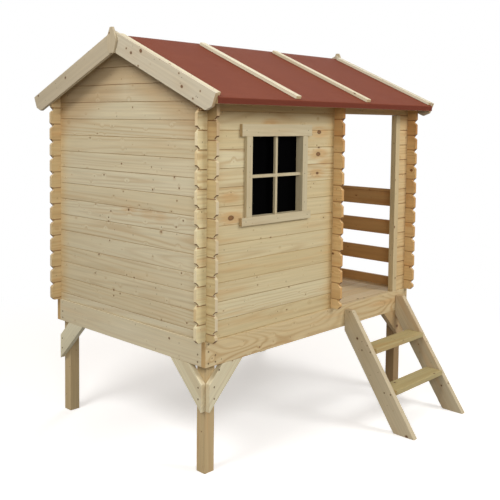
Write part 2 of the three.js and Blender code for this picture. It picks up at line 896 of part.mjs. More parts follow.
function hingePlate(bottom) {
  const top = bottom + hingeHeight;
  const strapBottom = bottom + (hingeHeight - hingeStrapHeight) / 2;
  const strapTop = strapBottom + hingeStrapHeight;
  const flat = block(
    [jambFace + fitGap, hingeAxisY, bottom],
    [jambFace + fitGap + hingeMetal, doorwayEnd - jambThickness + hingePlateWidth, top],
  );
  const knuckle = upright(knuckleRadius, bottom, top, hingeAxisX, hingeAxisY);
  const room = upright(
    knuckleRadius + hingeClearance,
    strapBottom - hingeClearance,
    strapTop + hingeClearance,
    hingeAxisX,
    hingeAxisY,
  );
  const pin = upright(hingePinRadius, bottom, top, hingeAxisX, hingeAxisY);
  const body = cut(join([solid(flat), solid(knuckle)]), [room]);
  return geometryOf(body.add(solid(pin)));
}

function hingeStrap(bottom) {
  const middle = bottom + hingeHeight / 2;
  const half = hingeStrapHeight / 2;
  const tip = hingeTipHeight / 2;
  const end = hingeAxisY - hingeStrapLength;
  const outline = [
    [hingeAxisY, middle - half],
    [hingeAxisY, middle + half],
    [hingeAxisY - 2 * knuckleRadius, middle + half],
    [end + tip, middle + tip],
    [end, middle],
    [end + tip, middle - tip],
    [hingeAxisY - 2 * knuckleRadius, middle - half],
  ];
  const flat = plateAlongX(ordered(outline), doorFace + fitGap, hingeMetal);
  const knuckle = upright(knuckleRadius, middle - half, middle + half, hingeAxisX, hingeAxisY);
  const bore = upright(
    hingePinRadius + hingeClearance,
    middle - half - cutOverrun,
    middle + half + cutOverrun,
    hingeAxisX,
    hingeAxisY,
  );
  return geometryOf(cut(join([solid(flat), solid(knuckle)]), [bore]));
}

// The knob is turned: a waisted stem and a ball that is cut off where the stem meets it.
function doorKnob() {
  const ballStart = Math.asin(knobStem / knobRadius);
  const profile = [
    new THREE.Vector2(0, 0),
    new THREE.Vector2(knobStem, 0),
    new THREE.Vector2(knobStem * knobWaistShare, knobStemLength / 2),
  ];
  const ballHeight = (angle) =>
    knobStemLength + knobRadius * (Math.cos(ballStart) - Math.cos(angle));
  for (let i = 0; i < knobSteps; i += 1) {
    const angle = ballStart + (i / knobSteps) * (Math.PI - ballStart);
    profile.push(new THREE.Vector2(knobRadius * Math.sin(angle), ballHeight(angle)));
  }
  profile.push(new THREE.Vector2(0, ballHeight(Math.PI)));
  const knob = new THREE.LatheGeometry(profile, roundSides).rotateZ(-Math.PI / 2);
  return knob.translate(doorFace + fitGap, doorLow + knobInset, doorBottom + knobHeight);
}

function addDoor() {
  const lowHinge = doorBottom + ledgeInset + (ledgeWidth - hingeHeight) / 2;
  const highHinge = doorTop - ledgeInset - (ledgeWidth + hingeHeight) / 2;
  add("door_jamb", doorJamb(), "trim");
  add("door_leaf", doorLeaf(), "wall");
  add("door_ledges", doorLedges(), "trim");
  add("door_knob", doorKnob(), "trim");
  add("hinge_plate_lower", hingePlate(lowHinge), "steel");
  add("hinge_plate_upper", hingePlate(highHinge), "steel");
  add("hinge_strap_lower", hingeStrap(lowHinge), "steel");
  add("hinge_strap_upper", hingeStrap(highHinge), "steel");
}

// The porch post is grooved on its far side for the ends of the short logs.
function porchPost() {
  const front = -postProud;
  const back = front + postDepth;
  const right = postPlace + postWidth;
  const grooveStart = right - postGroove;
  const points = [
    [postPlace, front], [right, front], [right, -fitGap], [grooveStart, -fitGap],
    [grooveStart, logThickness + fitGap], [right, logThickness + fitGap], [right, back],
    [postPlace, back],
  ];
  const top = wallTop - logHeight - lipDrop - fitGap;
  return plateAlongZ(points, wallBottom, top - wallBottom);
}

// Ladder
// Stringers lean against the front frame board: a plumb cut on the board, a level cut at the top
// and a level cut on the ground. Each step ends flush with the stringers' front edges at its foot.
const ladderBack = -frameProud - fitGap;
const ladderSlope = Math.tan(ladderPitch);
const stringerLevelWidth = stringerWidth / Math.sin(ladderPitch);
const stringerTop = floorHeight - stringerTopDrop;
const stringerHeel = frameBottom - stringerHeelDrop;

function ladderFrontEdge(height) {
  return ladderBack - stringerLevelWidth - (stringerHeel - height) / ladderSlope;
}

function stringer(start) {
  const points = [
    [ladderBack, stringerHeel],
    [ladderBack, stringerTop],
    [ladderFrontEdge(stringerTop), stringerTop],
    [ladderFrontEdge(0), 0],
    [ladderFrontEdge(0) + stringerLevelWidth, 0],
  ];
  return plateAlongX(ordered(points), start, stringerThickness);
}

function ladderStep(top) {
  const front = ladderFrontEdge(top - stepThickness);
  const start = ladderPlace + stringerThickness + fitGap;
  const end = ladderPlace + ladderWidth - stringerThickness - fitGap;
  return block([start, front, top - stepThickness], [end, front + stepDepth, top]);
}

function addLadder() {
  add("ladder_stringer_near", stringer(ladderPlace), "frame");
  add("ladder_stringer_far", stringer(ladderPlace + ladderWidth - stringerThickness), "frame");
  add("ladder_step_lower", ladderStep(lowerStepHeight), "step");
  add("ladder_step_upper", ladderStep(upperStepHeight), "step");
}

addWalls();
addFloorFrame();
addJoists();
addFloors();
addLegs();
addRoof();
addWindow();
addDoor();
add("porch_post", porchPost(), "frame");
addLadder();

// The origin goes to the ground under the middle of the whole.
const bounds = new THREE.Box3().setFromObject(playhouse);
const middle = bounds.getCenter(new THREE.Vector3());
const whole = new THREE.Group();
playhouse.position.set(-middle.x, -middle.y, 0);
whole.add(playhouse);

export default whole;
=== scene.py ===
"""Finishes the timber playhouse: pine with its figure and knots, roof felt, fasteners, and the studio."""

import math

import bmesh
import bpy
from bpy.props import FloatProperty, FloatVectorProperty, PointerProperty
from bpy.types import Operator, Panel, PropertyGroup
from mathutils import Matrix, Vector, noise


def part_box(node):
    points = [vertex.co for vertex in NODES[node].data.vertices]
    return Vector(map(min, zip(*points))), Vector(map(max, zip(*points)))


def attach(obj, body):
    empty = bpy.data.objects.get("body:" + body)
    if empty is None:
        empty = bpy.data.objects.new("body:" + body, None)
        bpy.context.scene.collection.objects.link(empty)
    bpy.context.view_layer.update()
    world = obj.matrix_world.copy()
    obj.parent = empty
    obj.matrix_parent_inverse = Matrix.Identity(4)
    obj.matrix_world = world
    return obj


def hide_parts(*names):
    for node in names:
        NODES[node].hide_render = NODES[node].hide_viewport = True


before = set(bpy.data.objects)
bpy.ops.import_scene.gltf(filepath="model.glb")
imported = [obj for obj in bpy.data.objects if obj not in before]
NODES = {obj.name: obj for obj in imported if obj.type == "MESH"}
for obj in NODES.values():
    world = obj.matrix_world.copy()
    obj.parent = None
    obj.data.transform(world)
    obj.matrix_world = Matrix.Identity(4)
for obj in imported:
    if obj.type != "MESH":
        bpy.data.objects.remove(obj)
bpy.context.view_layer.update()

bl_info = {
    "name": "Timber playhouse",
    "version": (1, 0, 0),
    "blender": (4, 5, 0),
    "location": "3D View > Sidebar > Playhouse",
    "description": "Finishes the packed playhouse with pine, roof felt, fasteners and a studio",
    "category": "Object",
}

ALONG_X = Vector((1, 0, 0))
ALONG_Y = Vector((0, 1, 0))
ALONG_Z = Vector((0, 0, 1))
WHITE = (1, 1, 1)

# The house is measured from the outer corner of its log walls under the window, at ground level.
FRAME_PROUD = 0.008
FRAME_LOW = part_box("frame_board_front")[0]
CORNER = Vector((FRAME_LOW.x + FRAME_PROUD, FRAME_LOW.y + FRAME_PROUD, 0))
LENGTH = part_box("frame_board_front")[1].x - FRAME_PROUD - CORNER.x
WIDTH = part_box("frame_board_back")[1].y - FRAME_PROUD - CORNER.y
RIDGE_Y = CORNER.y + WIDTH / 2
PORCH_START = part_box("door_wall")[1].x

# The log boards' courses and how their edges lap
LOG_HEIGHT = 0.0885
LOG_THICKNESS = 0.018
LIP_DROP = 0.005
TONGUE_RISE = 0.010
WALL_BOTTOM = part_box("window_wall")[0].z

FLOOR_BOARD_WIDTH = 0.088
DOOR_BOARDS = 6
ROOF_PITCH = math.radians(23.5)
LADDER_PITCH = math.radians(55.9)
# How far the bargeboards hang over the tops of the cross walls
BARGEBOARD_COVER = 0.11

# How far edges are rounded, by the way that each was worked
SAWN_EDGE = 0.0015
PLANED_EDGE = 0.0012
FINE_EDGE = 0.0010
TRODDEN_EDGE = 0.0025
METAL_EDGE = 0.0004

# The felt sheet: its thickness, and its steps along the house, down a slope, round a fold and down the eave
FELT_THICKNESS = 0.002
FELT_LENGTHS = 96
SLOPE_STEPS = 26
FOLD_STEPS = 6
FALL_STEPS = 4

SCREW_HEAD_THICKNESS = 0.0012
NAIL_HEAD_THICKNESS = 0.0010

FLOOR_SIZE = 60
FLOOR_DROP = 0.0005
# How far from the middle the floor begins to fade into the backdrop, and where it has faded
FADE_START = 1.6
FADE_END = 3.4
SENSOR_WIDTH = 36

# Tints that multiply the colour of the pine
WINDOW_WALL_TINT = (1.04, 1.075, 1.08)
CROSS_WALL_TINT = (1.00, 1.05, 1.15)
FLOOR_TINT = (1.05, 0.97, 0.91)
SIDE_FRAME_TINT = (1.06, 1.03, 0.98)
END_FRAME_TINT = (1.10, 1.20, 1.42)
LEG_TINT = (0.91, 0.86, 0.80)
BRACE_TINT = (1.16, 1.29, 1.51)
BARGEBOARD_TINT = (0.93, 0.99, 1.20)
BATTEN_TINT = (1.12, 1.25, 1.50)
PLATE_TINT = (0.78, 0.77, 0.82)
WINDOW_TINT = (0.925, 0.97, 1.05)
POST_TINT = (0.94, 0.885, 0.80)
# The leg and braces beside the ladder are tinted darker, a painted shade; the gable's back bargeboard is
# tinted darker.
PAINTED_SHADE_LEG_TINT = (0.52, 0.40, 0.29)
PAINTED_SHADE_BRACE_TINT = (0.74, 0.61, 0.48)
DARK_BARGEBOARD_TINT = (0.78, 0.78, 0.86)
# The stringers have greyed a little, and the steps are treated against rot, which leaves them greenish.
LADDER_TINT = (0.93, 0.965, 1.09)
STEP_TINT = (0.76, 0.79, 0.67)
# Tints of the log ends' sides past the corners, which are painted light and shade for how each corner is lit,
# and of the sawn faces that cap them; a painted warm shade on the inner sides of the rails; and random paler
# and more orange log ends
WINDOW_END_TINT = (1.18, 1.22, 1.24)
WINDOW_PORCH_TINT = (1.06, 0.95, 0.83)
WINDOW_CAP_TINT = (1.42, 1.68, 2.20)
BACK_END_TINT = (1.12, 1.05, 0.95)
GABLE_END_TINT = (0.90, 0.82, 0.64)
DEEP_END_TINT = (1.22, 1.00, 0.74)
PORCH_END_TINT = (1.17, 0.94, 0.67)
PALE_CAP_TINT = (1.30, 1.50, 1.90)
PAINTED_PORCH_SHADE = (0.82, 0.53, 0.30)
ORANGE_LOG_TINT = (0.92, 0.84, 0.73)
PALE_LOG_TINT = (1.06, 1.12, 1.22)
# Painted shade: under the roof, warm beside the log ends, in their notches and on their cut corners; dust and
# painted shade in seams
ROOF_SHADE = (0.80, 0.68, 0.57)
BESIDE_SHADE = (0.93, 0.82, 0.66)
NOTCH_SHADE = (0.56, 0.42, 0.30)
CUT_SHADE = (0.30, 0.20, 0.12)
DARK_SEAM = (0.44, 0.32, 0.21)
PALE_SEAM = (0.86, 0.76, 0.64)
# How far from a seam its dust and painted shade reach, and the painted shade in the log ends' notches
SEAM_REACH = 0.0026
NOTCH_REACH = 0.0045
# How far down a wall the painted shade under the roof is full, and where it ends
SHADE_FULL = 0.05
SHADE_END = 0.20
# How far from a corner the painted warm shade beside the log ends reaches, at a wall's start and at its stop
WARM_START = 0.13
WARM_STOP = 0.12

# Knots with a radius of more than this many millimetres have resin round them.
LARGE_KNOT = 5.5
# Marks in millimetres from the house's corner: along or across the house, height, and radius
WINDOW_WALL_KNOTS = [
    (155, 1195, 12), (805, 1595, 10), (800, 1480, 11), (795, 1380, 7), (805, 1515, 4.5),
    (435, 1075, 3), (580, 805, 3), (565, 690, 3), (855, 1140, 3),
]
WINDOW_WALL_STREAKS = [(150, 1290, 6), (690, 1490, 0), (850, 1440, 0), (430, 1640, 2)]
GABLE_WALL_KNOTS = [
    (910, 1550, 4), (845, 1575, 3), (715, 1615, 2.5), (545, 1710, 3.5), (635, 1425, 4.5), (395, 1420, 3),
    (785, 1360, 4.5), (225, 1380, 4), (190, 1330, 4.5), (385, 1310, 4.5), (620, 1285, 3),
    (205, 1270, 3.5), (490, 1225, 2.5), (245, 1215, 3), (860, 1200, 3), (725, 1175, 4), (575, 1195, 6),
    (160, 1180, 4), (210, 1145, 4), (745, 1140, 3.5), (745, 1120, 3.5), (320, 1110, 4.5),
    (735, 1020, 4), (830, 935, 5), (170, 930, 4), (590, 860, 3), (530, 855, 4), (865, 830, 3),
    (700, 765, 5.5), (645, 755, 4), (700, 735, 4), (130, 700, 4), (315, 680, 3),
]
GABLE_WALL_STREAKS = [(420, 1185, 6), (330, 1180, 4)]
BARGEBOARD_KNOTS = [
    (570, 2035, 4), (460, 1970, 7), (385, 1975, 9), (405, 1905, 4),
    (110, 1860, 4), (90, 1800, 7), (15, 1745, 4),
]
PLATE_KNOTS = [(620, 2075, 4)]

# The walls across the house: name, seed of the boards, which way the inner side lies through them (1 or -1),
# warmth, tints of the log ends' sides and of their sawn faces, knots, streaks, and how large scattered knots
# are as a share of their full size
CROSS_WALLS = [
    ("gable_wall", 83.0, -1, 0.08, GABLE_END_TINT, PALE_CAP_TINT, GABLE_WALL_KNOTS, GABLE_WALL_STREAKS, 0.3),
    ("door_wall", 127.0, 1, 0.3, DEEP_END_TINT, DEEP_END_TINT, [], [], 1.0),
    ("porch_end_wall", 171.0, 1, 0.3, PORCH_END_TINT, PORCH_END_TINT, [], [], 1.0),
]

# Screws at each corner of the house, in millimetres: whether they go into an end or a side, how far from the
# corner, and at which heights. The frame has two to a leg, and three in the end grain of its end boards.
FRAME_SCREWS = [("end", 45, (570, 535)), ("side", 55, (565, 535)), ("side", 11, (625, 590, 535))]
BRACE_SCREWS = [("end", 40, (415, 360)), ("side", 50, (415, 360)), ("side", 80, (490,))]
# Screws and nails in millimetres from the house's corner: across or along the house, and height
LADDER_SCREWS = [(-130, 405), (-185, 405), (-280, 205), (-320, 205)]
BARGEBOARD_NAILS = [(1120, 1840), (1110, 1815), (925, 1930), (815, 1995), (1225, 1750)]
POST_FRONT_NAILS = [(1540, 1225), (1555, 955)]
POST_SIDE_NAILS = [(12, 1390), (12, 855)]
BEAM_NAILS = [(1015, 1720), (1170, 1715), (1395, 1715), (1640, 1715)]
# Where the casing's nails are, from the ends of its level boards, from its sides and as shares of the pane
CASING_END_INSET = 0.03
CASING_SIDE_INSET = 0.055
CASING_SHARES = (0.12, 0.5, 0.88)
# Where a batten's nails are, as shares of its length down the slope
BATTEN_SHARES = (0.05, 0.28, 0.51, 0.74, 0.95)

# Lamps: name, which is also the name of the setting for its power, place and width
LAMPS = [
    ("front", (1.9, -4.9, 4.3), 2.6),
    ("side", (-4.6, -0.2, 5.3), 2.4),
    ("corner", (-3.9, -4.0, 3.0), 2.2),
    ("back", (4.4, 3.4, 4.2), 2.6),
    ("top", (0.4, -0.6, 5.2), 4.0),
]
LAMPS_AIM = Vector((0, 0, 1))


def house(x, y, z):
    """A place in the scene's metres, given in millimetres from the house's corner."""
    return CORNER + Vector((x, y, z)) / 1000


def on_cross_face(x, y, z):
    """A place on a face that looks along the house at x, given in millimetres across the house and up."""
    return Vector((x, *house(0, y, z).yz))


def on_side_face(y, x, z):
    """A place on a face that looks across the house at y, given in millimetres along the house and up."""
    place = house(x, 0, z)
    return Vector((place.x, y, place.z))


def side_marks(marks):
    """Marks on boards along the house: the place and the radius of each."""
    return [(house(x, 0, z), radius) for x, z, radius in marks]


def cross_marks(marks):
    """Marks on boards across the house: the place and the radius of each."""
    return [(house(0, y, z), radius) for y, z, radius in marks]


def nodes_named(*starts):
    """The names of the CAD nodes that start with one of some words, in order."""
    return sorted(name for name in NODES if name.startswith(starts))


def colour_setting(name, description, default):
    return FloatVectorProperty(
        name=name, description=description, subtype="COLOR", size=3, min=0, max=1, default=default
    )


def length_setting(name, description, default):
    return FloatProperty(
        name=name, description=description, subtype="DISTANCE", unit="LENGTH", min=0, default=default
    )


def angle_setting(name, description, degrees):
    angle = math.radians(degrees)
    return FloatProperty(name=name, description=description, subtype="ANGLE", unit="ROTATION", default=angle)


def strength_setting(name, description, default):
    return FloatProperty(name=name, description=description, min=0, default=default)


class PineSettings(PropertyGroup):
    """The colours and the figure of the pine boards."""

    pale: colour_setting("Pale wood", "Colour of the wood between the growth lines", (0.640, 0.545, 0.345))
    warm: colour_setting("Warm wood", "Colour of the boards with more heartwood", (0.560, 0.430, 0.225))
    growth: colour_setting("Growth lines", "Colour of the darker late wood", (0.430, 0.270, 0.115))
    resin: colour_setting("Resin", "Colour of the wood where resin has gathered", (0.560, 0.345, 0.150))
    end_grain: colour_setting("End grain", "Colour of the sawn ends", (0.530, 0.370, 0.175))
    knot: colour_setting("Knots", "Colour of the knots", (0.088, 0.032, 0.008))
    knot_heart: colour_setting("Knot hearts", "Colour of the larger knots' middle", (0.225, 0.088, 0.020))
    tick_height: length_setting("Longest tick", "Half height of the longest pin knot's mark", 0.0055)
    knot_radius: length_setting("Largest knot", "Radius of the largest scattered knot", 0.0085)


class RoofSettings(PropertyGroup):
    """The felt's colours and its folds."""

    felt: colour_setting("Felt", "Colour of the felt's grit", (0.208, 0.055, 0.026))
    felt_shade: colour_setting("Felt sheet", "Colour where the felt's grit is thin", (0.132, 0.027, 0.014))
    fold_radius: length_setting("Fold radius", "Radius of the felt's fold over the eave", 0.006)
    ripple: length_setting("Ripple", "How far the felt stands off its boards in places", 0.0012)


class FastenerSettings(PropertyGroup):
    """The screws and nails."""

    head_radius: length_setting("Screw head radius", "Radius of a countersunk screw's head", 0.0045)
    nail_radius: length_setting("Nail head radius", "Radius of a panel nail's head", 0.0022)
    nail: colour_setting("Nail colour", "Colour of the bright steel of the nails", (0.150, 0.125, 0.100))
    zinc: colour_setting("Screw colour", "Colour of the yellow zinc on the screws", (0.165, 0.110, 0.055))


class StageSettings(PropertyGroup):
    """The camera, the lamps and the floor."""

    eye: FloatVectorProperty(
        name="Camera place",
        description="Where the camera stands",
        subtype="TRANSLATION",
        unit="LENGTH",
        size=3,
        default=(-3.1980, -2.9528, 1.6460),
    )
    heading: angle_setting("Heading", "The camera's direction, turned from +X towards +Y", 43.58)
    dip: angle_setting("Dip", "How far the camera looks down", 3.626)
    roll: angle_setting("Roll", "How far the camera leans", -0.682)
    lens: FloatProperty(
        name="Lens",
        description="Focal length on a 36 mm sensor",
        subtype="DISTANCE_CAMERA",
        min=1,
        default=55.11,
    )
    shift: FloatProperty(
        name="Shift",
        description="How far the frame is moved down, as a share of its width",
        default=-0.1597,
    )
    ambient: strength_setting("Ambient light", "Strength of the light from all round", 0.28)
    ambient_colour: colour_setting("Ambient colour", "Colour of the light from all round", (1.0, 0.85, 0.70))
    front: strength_setting("Front light", "Power of the large soft lamp before the window", 178.0)
    corner: strength_setting("Corner light", "Power of the large soft lamp before the corner", 85.0)
    side: strength_setting("Side light", "Power of the large soft lamp before the gable", 168.0)
    back: strength_setting("Back light", "Power of the large soft lamp behind the porch", 80.0)
    top: strength_setting("Top light", "Power of the large soft lamp overhead", 12.0)
    glow: strength_setting("Floor glow", "How much brighter the camera sees the floor", 0.45)
    bounce: FloatProperty(
        name="Floor bounce",
        description="Share of its light that the floor throws back on the house",
        subtype="FACTOR",
        min=0,
        max=1,
        default=0.35,
    )
    floor: colour_setting("Floor", "Colour of the floor", (0.86, 0.86, 0.86))


def opaque(tone):
    """A colour of three numbers with its alpha, or a socket as it is."""
    return tone if isinstance(tone, bpy.types.NodeSocket) else (*tone, 1.0)


class Graph:
    """Adds nodes to one node tree and links them by their inputs."""

    def __init__(self, tree):
        self.tree = tree

    def add(self, kind, inputs=None, **settings):
        node = self.tree.nodes.new("ShaderNode" + kind)
        for key, value in settings.items():
            setattr(node, key, value)
        for socket, value in (inputs or {}).items():
            target = node.inputs[socket]
            if isinstance(value, bpy.types.NodeSocket):
                self.tree.links.new(value, target)
            else:
                target.default_value = value
        return node

    def math(self, operation, a, b=0.0, c=0.0):
        return self.add("Math", {0: a, 1: b, 2: c}, operation=operation).outputs[0]

    def vector(self, operation, a, b=(0, 0, 0)):
        node = self.add("VectorMath", {0: a, 1: b}, operation=operation)
        return node.outputs["Value" if operation in {"LENGTH", "DISTANCE"} else "Vector"]

    def stretch(self, vector, scale):
        return self.vector("MULTIPLY", vector, scale)

    def point(self, x=0.0, y=0.0, z=0.0):
        return self.add("CombineXYZ", {"X": x, "Y": y, "Z": z}).outputs[0]

    def axes(self, vector):
        return self.add("SeparateXYZ", {"Vector": vector}).outputs

    def ramp(self, value, low, high, start=0.0, end=1.0):
        """A soft step from start to end as the value goes from low to high."""
        inputs = {"Value": value, "From Min": low, "From Max": high, "To Min": start, "To Max": end}
        return self.add("MapRange", inputs, interpolation_type="SMOOTHSTEP").outputs[0]

    def sway(self, value, reach):
        """Turns a value between 0 and 1 into one between minus and plus half the reach."""
        return self.math("MULTIPLY_ADD", value, reach, -reach / 2)

    def mix(self, share, first, second, blend="MIX"):
        inputs = {0: share, 6: opaque(first), 7: opaque(second)}
        return self.add("Mix", inputs, data_type="RGBA", blend_type=blend).outputs[2]

    def noise(self, vector, scale, detail=2.0, roughness=0.5):
        """Noise at one scale, or at three scales along the axes."""
        if isinstance(scale, tuple):
            vector = self.stretch(vector, scale)
            scale = 1.0
        inputs = {"Vector": vector, "Scale": scale, "Detail": detail, "Roughness": roughness}
        return self.add("TexNoise", inputs).outputs[0]


class MaterialGraph(Graph):
    """The graph of a new material."""

    def __init__(self, name):
        self.material = bpy.data.materials.new(name)
        self.material.use_nodes = True
        super().__init__(self.material.node_tree)
        self.tree.nodes.clear()
        self.where = self.add("TexCoord").outputs

    def surface(self, base, roughness, height, strength, distance, metallic=0.0, specular=0.5):
        """Ends the graph with a bumpy surface, and gives the material."""
        bump = self.add("Bump", {"Height": height, "Strength": strength, "Distance": distance})
        inputs = {"Base Color": base, "Roughness": roughness, "Normal": bump.outputs[0]}
        inputs.update({"Metallic": metallic, "Specular IOR Level": specular})
        shader = self.add("BsdfPrincipled", inputs)
        self.add("OutputMaterial", {"Surface": shader.outputs[0]})
        return self.material


# Inputs and outputs of the shared pine group: name, kind of socket, and an input's default
PINE_INPUTS = [
    ("Place", "Vector", (0, 0, 0)),
    ("Facing", "Vector", (0, 0, 1)),
    ("Board", "Float", 0.0),
    ("Seam", "Float", 1.0),
    ("Known knots", "Float", 1.0),
    ("Resin distance", "Float", 1.0),
    ("Warmth", "Float", 0.3),
    ("Figure", "Float", 1.0),
    ("Resin", "Float", 0.25),
    ("Scattered knots", "Float", 1.0),
    ("Pull", "Float", 1.0),
]
PINE_OUTPUTS = [("Colour", "Color"), ("Roughness", "Float"), ("Height", "Float")]


def pine_group():
    """One board's wood: figure, fibres, knots and sawn ends, for a place along, through and across it."""
    settings = bpy.context.scene.playhouse_pine
    tree = bpy.data.node_groups.new("pine board", "ShaderNodeTree")
    for name, kind, default in PINE_INPUTS:
        socket = tree.interface.new_socket(name=name, in_out="INPUT", socket_type="NodeSocket" + kind)
        socket.default_value = default
    for name, kind in PINE_OUTPUTS:
        tree.interface.new_socket(name=name, in_out="OUTPUT", socket_type="NodeSocket" + kind)
    graph = Graph(tree)
    given = tree.nodes.new("NodeGroupInput").outputs
    looks = graph.axes(given["Facing"])

    # Each board is cut from another part of the tree.
    dice = graph.add("TexWhiteNoise", {"W": given["Board"]}, noise_dimensions="1D").outputs
    place = graph.vector("ADD", given["Place"], graph.stretch(dice["Color"], (31.0, 17.0, 23.0)))
    edge, rust, tick = knot_edges(graph, settings, given, looks, place)
    line = growth_lines(graph, given, place, edge)
    wood = resinous_wood(graph, settings, given, place, dice["Value"])
    wood = graph.mix(line, wood, settings.growth)

    fibre = graph.noise(place, (5.0, 420.0, 420.0), 2.0, 0.6)
    grain = graph.noise(place, (2.6, 85.0, 85.0), 3.0, 0.6)
    streak = graph.math("MULTIPLY_ADD", fibre, 0.22, graph.math("MULTIPLY_ADD", grain, 0.34, 0.72))
    wood = graph.mix(1.0, wood, streak, "MULTIPLY")
    core = graph.ramp(edge, 0.0008, -0.0012)
    wood = knotty_wood(graph, settings, wood, edge, rust, tick, core)

    speck = graph.noise(place, 900.0, 1.0)
    sawn = graph.ramp(graph.math("ABSOLUTE", looks["X"]), 0.60, 0.92)
    wood = graph.mix(sawn, wood, sawn_end(graph, settings, place, speck))
    # Dust and painted shade darken the seam between two boards.
    seam_dust_and_shade = graph.mix(dice["Value"], DARK_SEAM, PALE_SEAM)
    wood = graph.mix(graph.ramp(given["Seam"], SEAM_REACH, 0.0), wood, seam_dust_and_shade, "MULTIPLY")

    rough = graph.math("MULTIPLY_ADD", fibre, 0.16, 0.58)
    rough = graph.math("MULTIPLY_ADD", sawn, 0.12, rough)
    rough = graph.math("MULTIPLY_ADD", core, 0.08, rough)
    height = graph.math("MULTIPLY_ADD", fibre, 0.35, graph.math("MULTIPLY", line, 0.5))
    height = graph.math("MULTIPLY_ADD", core, 0.4, height)
    height = graph.math("MULTIPLY_ADD", graph.math("MULTIPLY", speck, sawn), 0.5, height)
    final = tree.nodes.new("NodeGroupOutput")
    for name, value in {"Colour": wood, "Roughness": rough, "Height": height}.items():
        tree.links.new(value, final.inputs[name])


def knot_edges(graph, settings, given, looks, place):
    """How far a point lies outside the nearest knot and pin knot, and a chance number for the knot."""
    # On the two faces of square timber that look across it, the knots lie through it instead.
    axes = graph.axes(given["Place"])
    turned = graph.math("GREATER_THAN", graph.math("ABSOLUTE", looks["Z"]), 0.7)
    across = graph.math("MULTIPLY_ADD", turned, graph.math("SUBTRACT", axes["Y"], axes["Z"]), axes["Z"])
    spot = graph.point(axes["X"], axes["Y"], across)
    radius = graph.math("MULTIPLY", given["Scattered knots"], settings.knot_radius)
    edge, rust = scattered_knots(graph, spot, given["Board"], radius, (3.4, 0.0, 15.0), 0.85)
    tick, _ = scattered_knots(graph, spot, given["Board"], settings.tick_height, (6.0, 0.0, 23.0), 2.4)
    edge = graph.math("MINIMUM", edge, given["Known knots"])
    ragged = graph.sway(graph.noise(place, 260.0, 1.0), 0.0030)
    return graph.math("ADD", edge, ragged), rust, tick


def scattered_knots(graph, place, board, radius, cells, narrow):
    """How far a point lies outside the nearest scattered knot's edge, and a chance number for that knot."""
    apart = graph.point(graph.math("MULTIPLY", board, 7.31))
    spaced = graph.vector("ADD", graph.stretch(place, cells), apart)
    inputs = {"Vector": spaced, "Scale": 1.0, "Randomness": 0.9}
    cell = graph.add("TexVoronoi", inputs, voronoi_dimensions="3D", feature="F1").outputs
    offset = graph.vector("SUBTRACT", spaced, cell["Position"])
    distance = graph.vector("LENGTH", graph.stretch(offset, (narrow / cells[0], 0.0, 1 / cells[2])))
    chance = graph.add("SeparateColor", {"Color": cell["Color"]}).outputs
    size = graph.math("MULTIPLY", graph.math("POWER", chance[0], 3.0), radius)
    return graph.math("SUBTRACT", distance, size), chance[1]


def growth_lines(graph, given, place, edge):
    """The growth lines are the contours of a long slow wave, pushed aside by the knots."""
    pulled = graph.stretch(place, graph.point(given["Pull"], 1.0, 1.0))
    wave = graph.noise(pulled, (0.30, 6.5, 6.5), 1.0, 0.4)
    wave = graph.math("MULTIPLY_ADD", graph.ramp(edge, 0.022, -0.002), 0.030, wave)
    contour = graph.math("SINE", graph.math("MULTIPLY", wave, 120.0))
    line = graph.math("POWER", graph.math("MULTIPLY_ADD", contour, 0.5, 0.5), 2.4)
    strength = graph.noise(place, (0.8, 5.0, 5.0), 1.0)
    strength = graph.ramp(strength, 0.30, 0.75, 0.03, 0.36)
    return graph.math("MULTIPLY", line, graph.math("MULTIPLY", strength, given["Figure"]))


def resinous_wood(graph, settings, given, place, chance):
    """The wood between the growth lines, from pale to warm, with its resin."""
    blotch = graph.noise(place, (1.6, 9.0, 9.0), 2.0)
    tone = graph.math("ADD", graph.math("MULTIPLY_ADD", chance, 1.05, -0.50), graph.sway(blotch, 0.7))
    wood = graph.mix(graph.math("ADD", tone, given["Warmth"]), settings.pale, settings.warm)
    # Resin shows as orange flames along the grain and as a glow round the larger knots.
    lick = graph.noise(place, (1.5, 16.0, 16.0), 3.0)
    flame = graph.math("MULTIPLY_ADD", given["Warmth"], 1.3, 0.12)
    flame = graph.math("MULTIPLY", graph.ramp(lick, 0.54, 0.72), flame)
    glow = graph.math("MULTIPLY", graph.ramp(given["Resin distance"], 0.034, 0.0), given["Resin"])
    broken = graph.noise(place, (7.0, 120.0, 120.0), 2.0)
    glow = graph.math("MULTIPLY", glow, graph.ramp(broken, 0.30, 0.66, 0.45, 1.25))
    resin = graph.math("MINIMUM", graph.math("MAXIMUM", flame, glow), 0.8)
    return graph.mix(resin, wood, settings.resin)


def knotty_wood(graph, settings, wood, edge, rust, tick, core):
    """The wood with its knots, each with a darker halo and some with a rusty heart."""
    wood = graph.mix(graph.ramp(edge, 0.006, 0.0, 0.0, 0.40), wood, settings.growth)
    rusty = graph.ramp(rust, 0.4, 0.9, 0.0, 0.30)
    heart = graph.math("MAXIMUM", rusty, graph.ramp(edge, -0.0025, -0.0070, 0.0, 0.75))
    knot = graph.mix(heart, settings.knot, settings.knot_heart)
    wood = graph.mix(graph.math("MULTIPLY", core, 0.92), wood, knot)
    # Pin knots and resin ducts leave short dark ticks across the grain.
    return graph.mix(graph.ramp(tick, 0.0006, -0.0010, 0.0, 0.70), wood, settings.knot)


def sawn_end(graph, settings, place, speck):
    """A sawn end, where the growth lines show as arcs."""
    pith = graph.vector("ADD", graph.stretch(place, (0.0, 1.0, 1.0)), (0.0, 0.06, 0.02))
    arcs = graph.math("SINE", graph.math("MULTIPLY", graph.vector("LENGTH", pith), 2400.0))
    share = graph.math("MULTIPLY_ADD", arcs, 0.14, graph.math("MULTIPLY_ADD", speck, 0.3, 0.1))
    return graph.mix(share, settings.end_grain, settings.growth)


